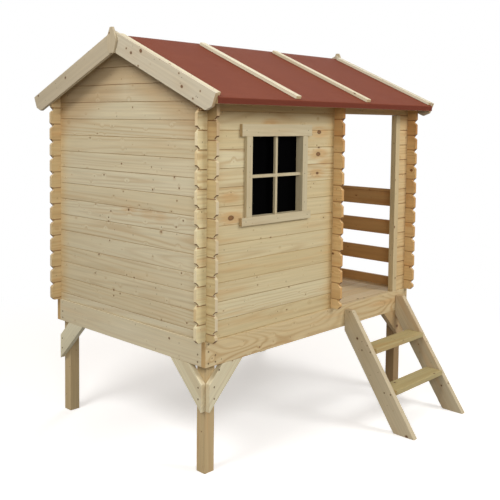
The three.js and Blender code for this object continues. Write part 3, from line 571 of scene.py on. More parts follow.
class Pine(MaterialGraph):
    """A pine material in the making. It knows where a point lies on its board and the wood's colour so far.

    X lies along the board, Y through it and Z across it."""

    def __init__(self, name, along, across, seed):
        super().__init__(name)
        self.along, self.across = along, across
        turn = Matrix((along, across.cross(along), across)).to_euler("XYZ")
        self.place = self.add("Mapping", {"Vector": self.where["Object"], "Rotation": turn}).outputs[0]
        facing = self.add("Mapping", {"Vector": self.where["Normal"], "Rotation": turn}, vector_type="VECTOR")
        self.facing = facing.outputs[0]
        self.at = self.axes(self.place)
        self.board, self.seam = seed, 1.0

    def lay_row(self, level, width):
        """Lays boards side by side, each with its own number, and finds how far the nearer seam is."""
        number = self.math("DIVIDE", level, width)
        self.board = self.math("ADD", self.math("FLOOR", number), self.board)
        self.seam = self.math("MULTIPLY", self.math("PINGPONG", number, 0.5), width)

    def lay_courses(self, first, inward, middle):
        """Lays log boards on one another from the first seam. Inward is 1 or -1, the way from the middle of
        their thickness to their inner side. The outer half of a log hangs below its course line, and the
        inner half stands above it."""
        self.inner = self.math("GREATER_THAN", self.math("MULTIPLY", self.at["Y"], inward), middle * inward)
        level = self.math("ADD", self.math("SUBTRACT", self.at["Z"], first), LIP_DROP)
        level = self.math("MULTIPLY_ADD", self.inner, -LIP_DROP - TONGUE_RISE, level)
        self.lay_row(level, LOG_HEIGHT)

    def outside(self, marks, narrow):
        """How far a point lies outside the edge of the nearest mark, each a place and a radius in mm."""
        nearest = 1.0
        flat = self.stretch(self.place, (narrow, 0.0, 1.0))
        for place, radius in marks:
            middle = (narrow * place.dot(self.along), 0.0, place.dot(self.across))
            distance = self.math("SUBTRACT", self.vector("DISTANCE", flat, middle), radius / 1000)
            nearest = self.math("MINIMUM", distance, nearest)
        return nearest

    def grow(self, warmth, figure, knots=(), streaks=(), narrow=0.85, extra=None):
        """Gives the boards their wood. Narrow makes the known knots longer along the grain."""
        large = [mark for mark in knots if mark[1] > LARGE_KNOT]
        inputs = {
            "Place": self.place,
            "Facing": self.facing,
            "Board": self.board,
            "Seam": self.seam,
            "Warmth": warmth,
            "Figure": figure,
            "Known knots": self.outside(knots, narrow),
            "Resin distance": self.outside([*large, *streaks], 0.4),
            **(extra or {}),
        }
        self.wood = self.add("Group", inputs, node_tree=bpy.data.node_groups["pine board"]).outputs
        self.base = self.wood["Colour"]

    def tint(self, tone, share=1.0):
        """Multiplies the colour by a tint."""
        self.base = self.mix(share, self.base, tone, "MULTIPLY")

    def paint_roof_shade(self, peak, slope=0.0):
        """Paints a brown shade on the top of the wall, where the roof shades it."""
        aside = self.math("ABSOLUTE", self.math("SUBTRACT", self.at["X"], RIDGE_Y))
        below = self.math("SUBTRACT", self.math("MULTIPLY_ADD", aside, -slope, peak), self.at["Z"])
        self.tint(ROOF_SHADE, self.ramp(below, SHADE_END, SHADE_FULL))

    def tint_and_shade_log_ends(self, start, stop, start_tint, stop_tint, cap_tint):
        """Tints the log ends past the two corners, their sides and the sawn faces that cap them; the sides'
        tints are painted light and shade for how each corner is lit. Paints shade in their notches and on
        their cut corners, and warm bounce light on the wall beside them.
        """
        before = self.ramp(self.at["X"], start + 0.006, start - 0.004)
        after = self.ramp(self.at["X"], stop - 0.006, stop + 0.004)
        looks = self.axes(self.facing)
        lengthways = self.math("ABSOLUTE", looks["X"])
        sides = self.mix(after, start_tint, stop_tint)
        tint = self.mix(self.ramp(lengthways, 0.60, 0.92), sides, cap_tint)
        ends = self.mix(1.0, self.base, tint, "MULTIPLY")
        # Painted shade in the notches between the log ends.
        ends = self.mix(self.ramp(self.seam, NOTCH_REACH, 0.0), ends, NOTCH_SHADE, "MULTIPLY")
        # Some logs are paler and some more orange where their ends weather.
        chance = self.add("TexWhiteNoise", {"W": self.board}, noise_dimensions="1D").outputs["Value"]
        ends = self.mix(1.0, ends, self.mix(chance, ORANGE_LOG_TINT, PALE_LOG_TINT), "MULTIPLY")
        # The corners cut off the log ends' lower edges face down and get a painted shade.
        cut = self.math("MULTIPLY", self.ramp(lengthways, 0.45, 0.62), self.ramp(looks["Z"], -0.45, -0.62))
        ends = self.mix(cut, ends, CUT_SHADE, "MULTIPLY")
        # Painted warm bounce light and shade on the wall beside the log ends.
        beside_start = self.ramp(self.at["X"], start + WARM_START, start, 0.0, 0.55)
        beside_stop = self.ramp(self.at["X"], stop - WARM_STOP, stop)
        self.tint(BESIDE_SHADE, self.math("MAXIMUM", beside_start, beside_stop))
        self.base = self.mix(self.math("MAXIMUM", before, after), self.base, ends)

    def paint_porch_shade(self, start, stop):
        """Paints a warm shade on the inner half of the boards between two places, where the roof shelters
        them.
        """
        after = self.ramp(self.at["X"], start, start + 0.01)
        share = self.math("MULTIPLY", after, self.ramp(self.at["X"], stop, stop - 0.01))
        self.tint(PAINTED_PORCH_SHADE, self.math("MULTIPLY", share, self.inner))

    def finish(self):
        return self.surface(self.base, self.wood["Roughness"], self.wood["Height"], 0.35, 0.0012)


def pine(name, along, across, seed, warmth, figure=1.0, tint=WHITE, row=None, knots=(), extra=None):
    """The pine of one board, or of a row of boards, which is given by its first seam and their width."""
    wood = Pine(name, along, across, seed)
    if row:
        first, width = row
        wood.lay_row(wood.math("SUBTRACT", wood.at["Z"], first), width)
    wood.grow(warmth, figure, knots, extra=extra)
    wood.tint(tint)
    return wood.finish()


def dress(names, material):
    """Gives CAD nodes a material and leaves their shape alone."""
    for name in names:
        mesh = NODES[name].data
        mesh.materials.clear()
        mesh.materials.append(material)


def dress_parts(name, first, second, takes_second):
    """Gives a CAD node one material, and some of its faces a second one by the place of their middle."""
    dress([name], first)
    mesh = NODES[name].data
    mesh.materials.append(second)
    for face in mesh.polygons:
        face.material_index = 1 if takes_second(face.center) else 0


def ease_edges(names, width):
    """Rounds the sharp edges of boards, as a plane or sandpaper does."""
    for name in names:
        node = NODES[name]
        weld = node.modifiers.new("weld", "WELD")
        weld.merge_threshold = 1e-5
        flat = node.modifiers.new("flatten", "DECIMATE")
        flat.decimate_type = "DISSOLVE"
        flat.angle_limit = math.radians(1)
        ease = node.modifiers.new("ease", "BEVEL")
        ease.width = width
        ease.segments = 2
        ease.limit_method = "ANGLE"
        ease.angle_limit = math.radians(35)
        ease.harden_normals = True


def deselect_all():
    bpy.ops.object.select_all(action="DESELECT")


def settle(piece, material, body="house"):
    """Applies a finished piece's place to its mesh and lets it ride on its body."""
    deselect_all()
    piece.select_set(True)
    bpy.context.view_layer.objects.active = piece
    bpy.ops.object.transform_apply(location=True, rotation=True, scale=True)
    piece.data.materials.clear()
    piece.data.materials.append(material)
    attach(piece, body)


class PLAYHOUSE_OT_log_walls(Operator):
    """Gives the five log walls their pine, one board to a course"""

    bl_idname = "playhouse.log_walls"
    bl_label = "Log walls"

    def execute(self, context):
        self.window_wall()
        self.back_wall()
        for wall in CROSS_WALLS:
            self.cross_wall(*wall)
        return {"FINISHED"}

    def window_wall(self):
        wood = Pine("window wall pine", ALONG_X, ALONG_Z, 3.0)
        wood.lay_courses(WALL_BOTTOM, 1, CORNER.y + LOG_THICKNESS / 2)
        knots, streaks = side_marks(WINDOW_WALL_KNOTS), side_marks(WINDOW_WALL_STREAKS)
        wood.grow(0.34, 1.5, knots, streaks, 0.6, {"Resin": 1.0, "Scattered knots": 0.35})
        wood.tint(WINDOW_WALL_TINT)
        wood.paint_roof_shade(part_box("window_wall")[1].z)
        wood.tint_and_shade_log_ends(CORNER.x, PORCH_START, WINDOW_END_TINT, WINDOW_PORCH_TINT, WINDOW_CAP_TINT)
        dress(["window_wall"], wood.finish())

    def back_wall(self):
        wood = Pine("back wall pine", ALONG_X, ALONG_Z, 41.0)
        wood.lay_courses(WALL_BOTTOM, -1, CORNER.y + WIDTH - LOG_THICKNESS / 2)
        wood.grow(0.25, 1.0)
        far = CORNER.x + LENGTH
        wood.tint_and_shade_log_ends(CORNER.x, far, BACK_END_TINT, BACK_END_TINT, PALE_CAP_TINT)
        wood.paint_porch_shade(PORCH_START + 0.02, far)
        dress(["back_wall"], wood.finish())

    def cross_wall(self, name, seed, inward, warmth, end_tint, cap_tint, knots, streaks, scattered):
        low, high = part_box(name)
        wood = Pine(f"{name} pine", ALONG_Y, ALONG_Z, seed)
        wood.lay_courses(WALL_BOTTOM - LOG_HEIGHT / 2, inward, -(low.x + high.x) / 2)
        extra = {"Scattered knots": scattered, "Resin": 0.5}
        wood.grow(warmth, 1.35, cross_marks(knots), cross_marks(streaks), 0.95, extra)
        wood.tint(CROSS_WALL_TINT)
        wood.paint_roof_shade(high.z - BARGEBOARD_COVER, math.tan(ROOF_PITCH))
        wood.tint_and_shade_log_ends(CORNER.y, CORNER.y + WIDTH, end_tint, end_tint, cap_tint)
        if name == "porch_end_wall":
            wood.paint_porch_shade(CORNER.y, CORNER.y + WIDTH)
        dress([name], wood.finish())


class PLAYHOUSE_OT_floor(Operator):
    """Gives the floor frame, the joists and the floor boards their pine"""

    bl_idname = "playhouse.floor"
    bl_label = "Floor and its frame"

    def execute(self, context):
        # The boards are laid from the front edge, and counted from the fortieth behind it.
        row = (-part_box("room_floor")[0].y - 40 * FLOOR_BOARD_WIDTH, FLOOR_BOARD_WIDTH)
        material = pine("floor boards", ALONG_X, -ALONG_Y, 211.0, 0.4, 0.9, FLOOR_TINT, row)
        dress(["room_floor", "porch_deck"], material)
        # The long boards' growth lines are drawn closer along them.
        close = {"Pull": 5.0}
        for index, end in enumerate(["front", "back"]):
            name = f"frame board {index + 1}"
            material = pine(name, ALONG_X, ALONG_Z, 301.0 + index, 0.38, 2.5, SIDE_FRAME_TINT, extra=close)
            dress([f"frame_board_{end}"], material)
        for index, end in enumerate(["gable", "porch"]):
            name = f"frame board {index + 3}"
            material = pine(name, ALONG_Y, ALONG_Z, 311.0 + index, 0.08, 1.1, END_FRAME_TINT)
            dress([f"frame_board_{end}_end"], material)
        dress(nodes_named("joist"), pine("joists", ALONG_Y, ALONG_Z, 323.0, 0.35))
        ease_edges(nodes_named("frame_board", "joist"), SAWN_EDGE)
        return {"FINISHED"}


class PLAYHOUSE_OT_legs(Operator):
    """Gives the legs and their braces their pine"""

    bl_idname = "playhouse.legs"
    bl_label = "Legs and braces"

    def execute(self, context):
        for index, name in enumerate(nodes_named("leg_")):
            # The leg beside the ladder is tinted darker, a painted shade.
            tint = PAINTED_SHADE_LEG_TINT if name == "leg_front_porch" else LEG_TINT
            dress([name], pine(f"leg {index + 1}", ALONG_Z, ALONG_X, 401.0 + index, 0.35, 0.8, tint))
        for index, name in enumerate(nodes_named("brace_")):
            along, across = brace_directions(name)
            # The braces beside the ladder are tinted darker, a painted shade.
            tint = PAINTED_SHADE_BRACE_TINT if name.startswith("brace_front_porch") else BRACE_TINT
            dress([name], pine(f"brace {index + 1}", along, across, 421.0 + index, 0.12, 1.0, tint))
        ease_edges(nodes_named("leg_", "brace_"), SAWN_EDGE)
        return {"FINISHED"}


def brace_directions(name):
    """A brace runs up and away from its leg at 45 degrees, along one side of the house."""
    end = name.endswith("_end")
    away = ALONG_Y if end else ALONG_X
    if ("back" in name) if end else ("porch" in name):
        away = -away
    return (away + ALONG_Z).normalized(), (ALONG_Z - away).normalized()


class PLAYHOUSE_OT_roof_boards(Operator):
    """Gives the boards under the felt their pine"""

    bl_idname = "playhouse.roof_boards"
    bl_label = "Roof boards"

    def execute(self, context):
        for index, (word, down, _) in enumerate(slopes()):
            name = f"roof_boards_{word}"
            dress([name], pine(f"{name} pine", ALONG_X, down, 500.0 + 2 * index, 0.35, 0.8))
        return {"FINISHED"}


def slopes():
    """The roof's two slopes: each one's word, the way down from the ridge, and the way square out."""
    for word, side in [("front", -1), ("back", 1)]:
        down = Vector((0, side * math.cos(ROOF_PITCH), -math.sin(ROOF_PITCH)))
        yield word, down, Vector((0, side * math.sin(ROOF_PITCH), math.cos(ROOF_PITCH)))


class PLAYHOUSE_OT_roof_felt(Operator):
    """Lays the felt over the ridge and folds it down over both eaves"""

    bl_idname = "playhouse.roof_felt"
    bl_label = "Roof felt"

    def execute(self, context):
        settings = context.scene.playhouse_roof
        low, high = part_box("roof_felt")
        line = self.section(settings, low, high)
        rows = len(line) - 1
        deselect_all()
        bpy.ops.mesh.primitive_grid_add(x_subdivisions=FELT_LENGTHS, y_subdivisions=rows, size=2)
        felt = context.active_object
        felt.name = "felt_sheet"
        for vertex in felt.data.vertices:
            share = (vertex.co.x + 1) / 2
            place, outward, loose = line[round((vertex.co.y + 1) / 2 * rows)]
            x = low.x + share * (high.x - low.x)
            lift = settings.ripple * loose * self.slack(x, place)
            vertex.co = (x, place[0] + outward[0] * lift, place[1] + outward[1] * lift)
        solidify = felt.modifiers.new("thickness", "SOLIDIFY")
        solidify.thickness = FELT_THICKNESS
        solidify.offset = -1
        bpy.ops.object.modifier_apply(modifier="thickness")
        bpy.ops.object.mode_set(mode="EDIT")
        bpy.ops.mesh.select_all(action="SELECT")
        bpy.ops.mesh.normals_make_consistent(inside=False)
        bpy.ops.object.mode_set(mode="OBJECT")
        bpy.ops.object.shade_smooth_by_angle(angle=math.radians(50))
        settle(felt, felt_material(settings))
        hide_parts("roof_felt")
        return {"FINISHED"}

    def slack(self, x, place):
        """A soft ripple between 0 and 1 over the felt, longest across the slope."""
        far = noise.noise(Vector((x * 5.5, place[0] * 2.0, place[1] * 2.0)))
        near = noise.noise(Vector((x * 17.0, place[0] * 7.0 + 5.0, place[1] * 7.0)))
        return min(1.0, max(0.0, 0.5 + 0.6 * far + 0.25 * near))

    def section(self, settings, low, high):
        """The felt's top line across the roof: each point's place, the way out of it, and its slack."""
        radius = settings.fold_radius
        eave = high.y - RIDGE_Y
        ridge = high.z - settings.ripple
        slope = math.tan(ROOF_PITCH)
        # The fold's middle lies a radius inside the eave's face and under the slope.
        middle_y = eave - radius
        middle_z = ridge - middle_y * slope - radius / math.cos(ROOF_PITCH)
        fold_start = middle_y + radius * math.sin(ROOF_PITCH)
        fold_angle = math.radians(90) - ROOF_PITCH
        normal = (math.sin(ROOF_PITCH), math.cos(ROOF_PITCH))
        points = []
        for index in range(SLOPE_STEPS):
            y = fold_start * index / SLOPE_STEPS
            # The felt lies tight at the ridge.
            loose = min(1.0, 6 * index / SLOPE_STEPS)
            points.append(((y, ridge - y * slope), normal, loose))
        for index in range(FOLD_STEPS + 1):
            angle = ROOF_PITCH + fold_angle * index / FOLD_STEPS
            out = (math.sin(angle), math.cos(angle))
            points.append(((middle_y + radius * out[0], middle_z + radius * out[1]), out, 0.35))
        for index in range(1, FALL_STEPS + 1):
            z = middle_z + (low.z - middle_z) * index / FALL_STEPS
            points.append(((eave, z), (1, 0), 0.0))
        right = [((RIDGE_Y + p[0], p[1]), n, k) for p, n, k in points]
        left = [((RIDGE_Y - p[0], p[1]), (-n[0], n[1]), k) for p, n, k in points[1:]]
        return [*reversed(left), *right]


def felt_material(settings):
    """Mineral felt: fine red-brown grit on a darker sheet, with faint wear down and across the slope."""
    graph = MaterialGraph("roof felt")
    place = graph.where["Object"]
    grit = graph.noise(place, 620.0, 2.0, 0.7)
    coarse = graph.noise(place, 90.0, 2.0)
    cloud = graph.noise(place, (4.8, 2.88, 2.88), 3.0)
    worn_down = graph.noise(place, (60.0, 5.0, 5.0), 2.0)
    worn_along = graph.noise(place, (7.0, 70.0, 70.0), 2.0)
    share = graph.ramp(grit, 0.38, 0.62)
    for value, reach in [(coarse, 0.5), (cloud, 0.7), (worn_down, 0.8), (worn_along, 0.8)]:
        share = graph.math("ADD", share, graph.sway(value, reach))
    share = graph.math("MULTIPLY_ADD", share, 0.55, 0.35)
    base = graph.mix(share, settings.felt_shade, settings.felt)
    # The felt is darker where it tilts away from upright, over the fold and down the eave's face.
    upright = graph.axes(graph.where["Normal"])["Z"]
    base = graph.mix(graph.ramp(upright, 0.75, 0.15, 0.0, 0.65), base, settings.felt_shade)
    rough = graph.math("MULTIPLY_ADD", coarse, 0.12, 0.82)
    height = graph.math("MULTIPLY_ADD", coarse, 0.4, grit)
    return graph.surface(base, rough, height, 0.5, 0.0012, specular=0.2)


class PLAYHOUSE_OT_roof_trim(Operator):
    """Gives the battens, bargeboards and gable plates their planed pine"""

    bl_idname = "playhouse.roof_trim"
    bl_label = "Battens, bargeboards and gable plates"

    def execute(self, context):
        boards = nodes_named("felt_batten", "end_batten", "bargeboard")
        tints = {name: BARGEBOARD_TINT if name.startswith("bargeboard") else BATTEN_TINT for name in boards}
        tints["bargeboard_back_gable"] = DARK_BARGEBOARD_TINT
        knots = {"bargeboard_front_gable": cross_marks(BARGEBOARD_KNOTS)}
        seed = 602.0
        for word, down, out in slopes():
            for name in [name for name in boards if word in name]:
                look = {"tint": tints[name], "knots": knots.get(name, ()), "extra": {"Resin": 0.15}}
                dress([name], pine(name.replace("_", " "), down, out, seed, 0.0, 0.55, **look))
                seed += 1
        plates = nodes_named("gable_plate")
        knots = cross_marks(PLATE_KNOTS)
        dress(plates, pine("gable plates", ALONG_Z, ALONG_Y, 641.0, 0.1, 0.6, PLATE_TINT, knots=knots))
        ease_edges([*boards, *plates], PLANED_EDGE)
        return {"FINISHED"}


class PLAYHOUSE_OT_window(Operator):
    """Gives the window's casing, lining and bars their pine and its panes their gloss"""

    bl_idname = "playhouse.window"
    bl_label = "Window"

    def execute(self, context):
        low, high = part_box("window_pane")
        middle_x = (low.x + high.x) / 2
        # Half the upright bar's width is less than this share of the pane's.
        bar_reach = (high.x - low.x) / 30
        clear = {"Scattered knots": 0.0}
        upright = pine("window uprights", ALONG_Z, ALONG_X, 701.0, 0.08, 0.5, WINDOW_TINT, extra=clear)
        level = pine("window head and sill", ALONG_X, ALONG_Z, 703.0, 0.08, 0.5, WINDOW_TINT, extra=clear)
        for name in ["window_casing", "window_lining"]:
            dress_parts(name, upright, level, lambda middle: not low.z < middle.z < high.z)
        dress_parts("window_bars", upright, level, lambda middle: abs(middle.x - middle_x) > bar_reach)
        dress(["window_pane"], pane_material())
        ease_edges(["window_bars", "window_lining"], FINE_EDGE)
        return {"FINISHED"}


def pane_material():
    """A gloss pane painted near black, a painted shade for the dark room behind it, with faint wipe marks."""
    graph = MaterialGraph("window pane")
    wipe = graph.noise(graph.where["Object"], (9.0, 9.0, 3.0), 3.0)
    base = graph.mix(wipe, (0.0003, 0.0003, 0.0004), (0.0012, 0.0012, 0.0014))
    rough = graph.math("MULTIPLY_ADD", wipe, 0.18, 0.16)
    return graph.surface(base, rough, wipe, 0.04, 0.0005, specular=0.004)


class PLAYHOUSE_OT_door(Operator):
    """Gives the door, its jamb, ledges and knob their pine and its hinges their zinc"""

    bl_idname = "playhouse.door"
    bl_label = "Door"

    def execute(self, context):
        low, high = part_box("door_leaf")
        row = (low.y, (high.y - low.y) / DOOR_BOARDS)
        dress(["door_leaf"], pine("door boards", ALONG_Z, ALONG_Y, 801.0, 0.3, 0.9, row=row))
        dress(["door_jamb"], pine("door jamb", ALONG_Z, ALONG_Y, 811.0, 0.2, 0.7))
        dress(["door_ledges"], pine("door ledges", ALONG_Y, ALONG_Z, 813.0, 0.25, 0.9))
        dress(["door_knob"], pine("door knob", ALONG_X, ALONG_Z, 815.0, 0.4, 0.6))
        dress(nodes_named("hinge_"), zinc_material("hinge zinc", (0.30, 0.30, 0.31)))
        ease_edges(["door_ledges", "door_jamb"], PLANED_EDGE)
        ease_edges(nodes_named("hinge_"), METAL_EDGE)
        return {"FINISHED"}


def zinc_material(name, tone):
    """Zinc plate with its faint cloudy crystals and small scratches."""
    graph = MaterialGraph(name)
    cloud = graph.noise(graph.where["Object"], 120.0, 3.0)
    scratch = graph.noise(graph.where["Object"], (300.0, 300.0, 40.0), 2.0)
    dark = [0.72 * part for part in tone]
    base = graph.mix(graph.ramp(cloud, 0.3, 0.7), dark, tone)
    rough = graph.math("MULTIPLY_ADD", scratch, 0.25, 0.28)
    return graph.surface(base, rough, scratch, 0.1, 0.0003, metallic=1.0)


class PLAYHOUSE_OT_porch_post(Operator):
    """Gives the porch post its pine"""

    bl_idname = "playhouse.porch_post"
    bl_label = "Porch post"

    def execute(self, context):
        dress(["porch_post"], pine("porch post", ALONG_Z, ALONG_X, 901.0, 0.25, 0.8, POST_TINT))
        ease_edges(["porch_post"], SAWN_EDGE)
        return {"FINISHED"}


class PLAYHOUSE_OT_ladder(Operator):
    """Gives the ladder's stringers and steps their wood"""

    bl_idname = "playhouse.ladder"
    bl_label = "Ladder"

    def execute(self, context):
        along = Vector((0, math.cos(LADDER_PITCH), math.sin(LADDER_PITCH)))
        across = Vector((0, -math.sin(LADDER_PITCH), math.cos(LADDER_PITCH)))
        for index, name in enumerate(["ladder_stringer_near", "ladder_stringer_far"]):
            dress([name], pine(name.replace("_", " "), along, across, 921.0 + index, 0.3, 0.7, LADDER_TINT))
        for index, name in enumerate(["ladder_step_lower", "ladder_step_upper"]):
            dress([name], pine(name.replace("_", " "), ALONG_X, ALONG_Y, 931.0 + index, 0.5, 1.0, STEP_TINT))
        ease_edges(nodes_named("ladder_"), TRODDEN_EDGE)
        return {"FINISHED"}


class PLAYHOUSE_OT_screws(Operator):
    """Drives the countersunk screws of the frame, the braces and the ladder"""

    bl_idname = "playhouse.screws"
    bl_label = "Screws"

    def execute(self, context):
        settings = context.scene.playhouse_fasteners
        zinc = zinc_material("screw zinc", settings.zinc)
        head = self.head(settings.head_radius)
        settle(scatter(head, corner_screws(FRAME_SCREWS), "frame_screws"), zinc)
        settle(scatter(head, corner_screws(BRACE_SCREWS), "brace_screws"), zinc)
        settle(scatter(head, ladder_screws(), "ladder_screws"), zinc)
        bpy.data.objects.remove(head)
        return {"FINISHED"}

    def head(self, radius):
        """A flat head with a cross recess, standing a hair proud of the wood."""
        deselect_all()
        bpy.ops.mesh.primitive_cylinder_add(vertices=16, radius=radius, depth=SCREW_HEAD_THICKNESS)
        head = bpy.context.active_object
        head.name = "screw_head"
        bpy.ops.object.mode_set(mode="EDIT")
        mesh = bmesh.from_edit_mesh(head.data)
        for face in mesh.faces:
            face.select_set(face.normal.z > 0.9)
        bmesh.update_edit_mesh(head.data)
        # The rim rises a little, the flat lies inside it, and the recess goes down from there.
        bpy.ops.mesh.inset(thickness=radius * 0.22, depth=0.0002)
        bpy.ops.mesh.inset(thickness=radius * 0.30, depth=0)
        bpy.ops.mesh.inset(thickness=radius * 0.02, depth=-0.0009)
        bpy.ops.object.mode_set(mode="OBJECT")
        # The recess is drawn in between its four arms.
        for vertex in head.data.vertices:
            across = math.hypot(vertex.co.x, vertex.co.y)
            if 0 < across < radius * 0.6:
                angle = math.atan2(vertex.co.y, vertex.co.x)
                pinch = 0.62 + 0.38 * abs(math.cos(2 * angle))
                vertex.co.x *= pinch
                vertex.co.y *= pinch
        bpy.ops.object.shade_smooth_by_angle(angle=math.radians(30))
        return head


def scatter(head, places, name):
    """Copies a head to each place with its own mesh, turned to face out of the wood, and joins the copies."""
    deselect_all()
    copies = []
    for place, outward in places:
        copy = head.copy()
        copy.data = head.data.copy()
        bpy.context.collection.objects.link(copy)
        copy.data.transform(Matrix.Translation(place) @ outward.to_track_quat("Z", "Y").to_matrix().to_4x4())
        copies.append(copy)
    for copy in copies:
        copy.select_set(True)
    bpy.context.view_layer.objects.active = copies[0]
    bpy.ops.object.join()
    copies[0].name = name
    return copies[0]


def corner_screws(rows):
    """Screws at all four corners, level with the frame's outer faces: each one's place and its facing."""
    length, width, proud = LENGTH * 1000, WIDTH * 1000, FRAME_PROUD * 1000
    places = []
    for face, inset, heights in rows:
        for z in heights:
            if face == "end":
                for y in (inset, width - inset):
                    places.append((house(-proud, y, z), -ALONG_X))
                    places.append((house(length + proud, y, z), ALONG_X))
            else:
                for x in (inset, length - inset):
                    places.append((house(x, -proud, z), -ALONG_Y))
                    places.append((house(x, width + proud, z), ALONG_Y))
    return places


def ladder_screws():
    """Two screws through each stringer into each step's end."""
    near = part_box("ladder_stringer_near")[0].x
    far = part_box("ladder_stringer_far")[1].x
    places = []
    for y, z in LADDER_SCREWS:
        places.append((on_cross_face(near, y, z), -ALONG_X))
        places.append((on_cross_face(far, y, z), ALONG_X))
    return places


class PLAYHOUSE_OT_nails(Operator):
    """Drives the small nails of the trim, the post and the beam over the porch"""

    bl_idname = "playhouse.nails"
    bl_label = "Nails"

    def execute(self, context):
        settings = context.scene.playhouse_fasteners
        steel = zinc_material("nail steel", settings.nail)
        head = self.head(settings.nail_radius)
        settle(scatter(head, casing_nails(), "casing_nails"), steel)
        settle(scatter(head, roof_nails(), "roof_nails"), steel)
        settle(scatter(head, porch_nails(), "porch_nails"), steel)
        bpy.data.objects.remove(head)
        return {"FINISHED"}

    def head(self, radius):
        """A small round head with a bevelled rim, standing a hair proud of the wood."""
        deselect_all()
        bpy.ops.mesh.primitive_cylinder_add(vertices=10, radius=radius, depth=NAIL_HEAD_THICKNESS)
        head = bpy.context.active_object
        head.name = "nail_head"
        bpy.ops.object.mode_set(mode="EDIT")
        bpy.ops.mesh.select_all(action="SELECT")
        bpy.ops.mesh.bevel(offset=radius * 0.14, segments=1, affect="EDGES")
        bpy.ops.object.mode_set(mode="OBJECT")
        bpy.ops.object.shade_smooth_by_angle(angle=math.radians(30))
        return head


def casing_nails():
    """Three nails along each of the casing's head and sill boards, and three down each side."""
    low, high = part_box("window_casing")
    pane_low, pane_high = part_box("window_pane")
    places = []
    for z in ((low.z + pane_low.z) / 2, (pane_high.z + high.z) / 2):
        for x in (low.x + CASING_END_INSET, (low.x + high.x) / 2, high.x - CASING_END_INSET):
            places.append(Vector((x, low.y, z)))
    for share in CASING_SHARES:
        for x in (low.x + CASING_SIDE_INSET, high.x - CASING_SIDE_INSET):
            places.append(Vector((x, low.y, pane_low.z + share * (pane_high.z - pane_low.z))))
    return [(place, -ALONG_Y) for place in places]


def roof_nails():
    """Nails down the middle of each felt batten and end batten, and in the bargeboards."""
    places = []
    for word, down, out in slopes():
        for name in nodes_named(f"felt_batten_{word}", f"end_batten_{word}"):
            corners = [vertex.co for vertex in NODES[name].data.vertices]
            reach = [corner.dot(down) for corner in corners]
            top = max(corner.dot(out) for corner in corners)
            low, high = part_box(name)
            for share in BATTEN_SHARES:
                along = min(reach) + share * (max(reach) - min(reach))
                places.append((ALONG_X * (low.x + high.x) / 2 + down * along + out * top, out))
    for end, face, outward in [("gable", 0, -ALONG_X), ("porch", 1, ALONG_X)]:
        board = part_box(f"bargeboard_front_{end}")[face].x
        for across, height in BARGEBOARD_NAILS:
            for y in (across, WIDTH * 1000 - across):
                places.append((on_cross_face(board, y, height), outward))
    return places


def porch_nails():
    """Nails in the post's front and left face, and in the beam over the porch's front."""
    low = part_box("porch_post")[0]
    places = [(on_side_face(low.y, x, z), -ALONG_Y) for x, z in POST_FRONT_NAILS]
    places += [(on_cross_face(low.x, y, z), -ALONG_X) for y, z in POST_SIDE_NAILS]
    return places + [(house(x, 0, z), -ALONG_Y) for x, z in BEAM_NAILS]


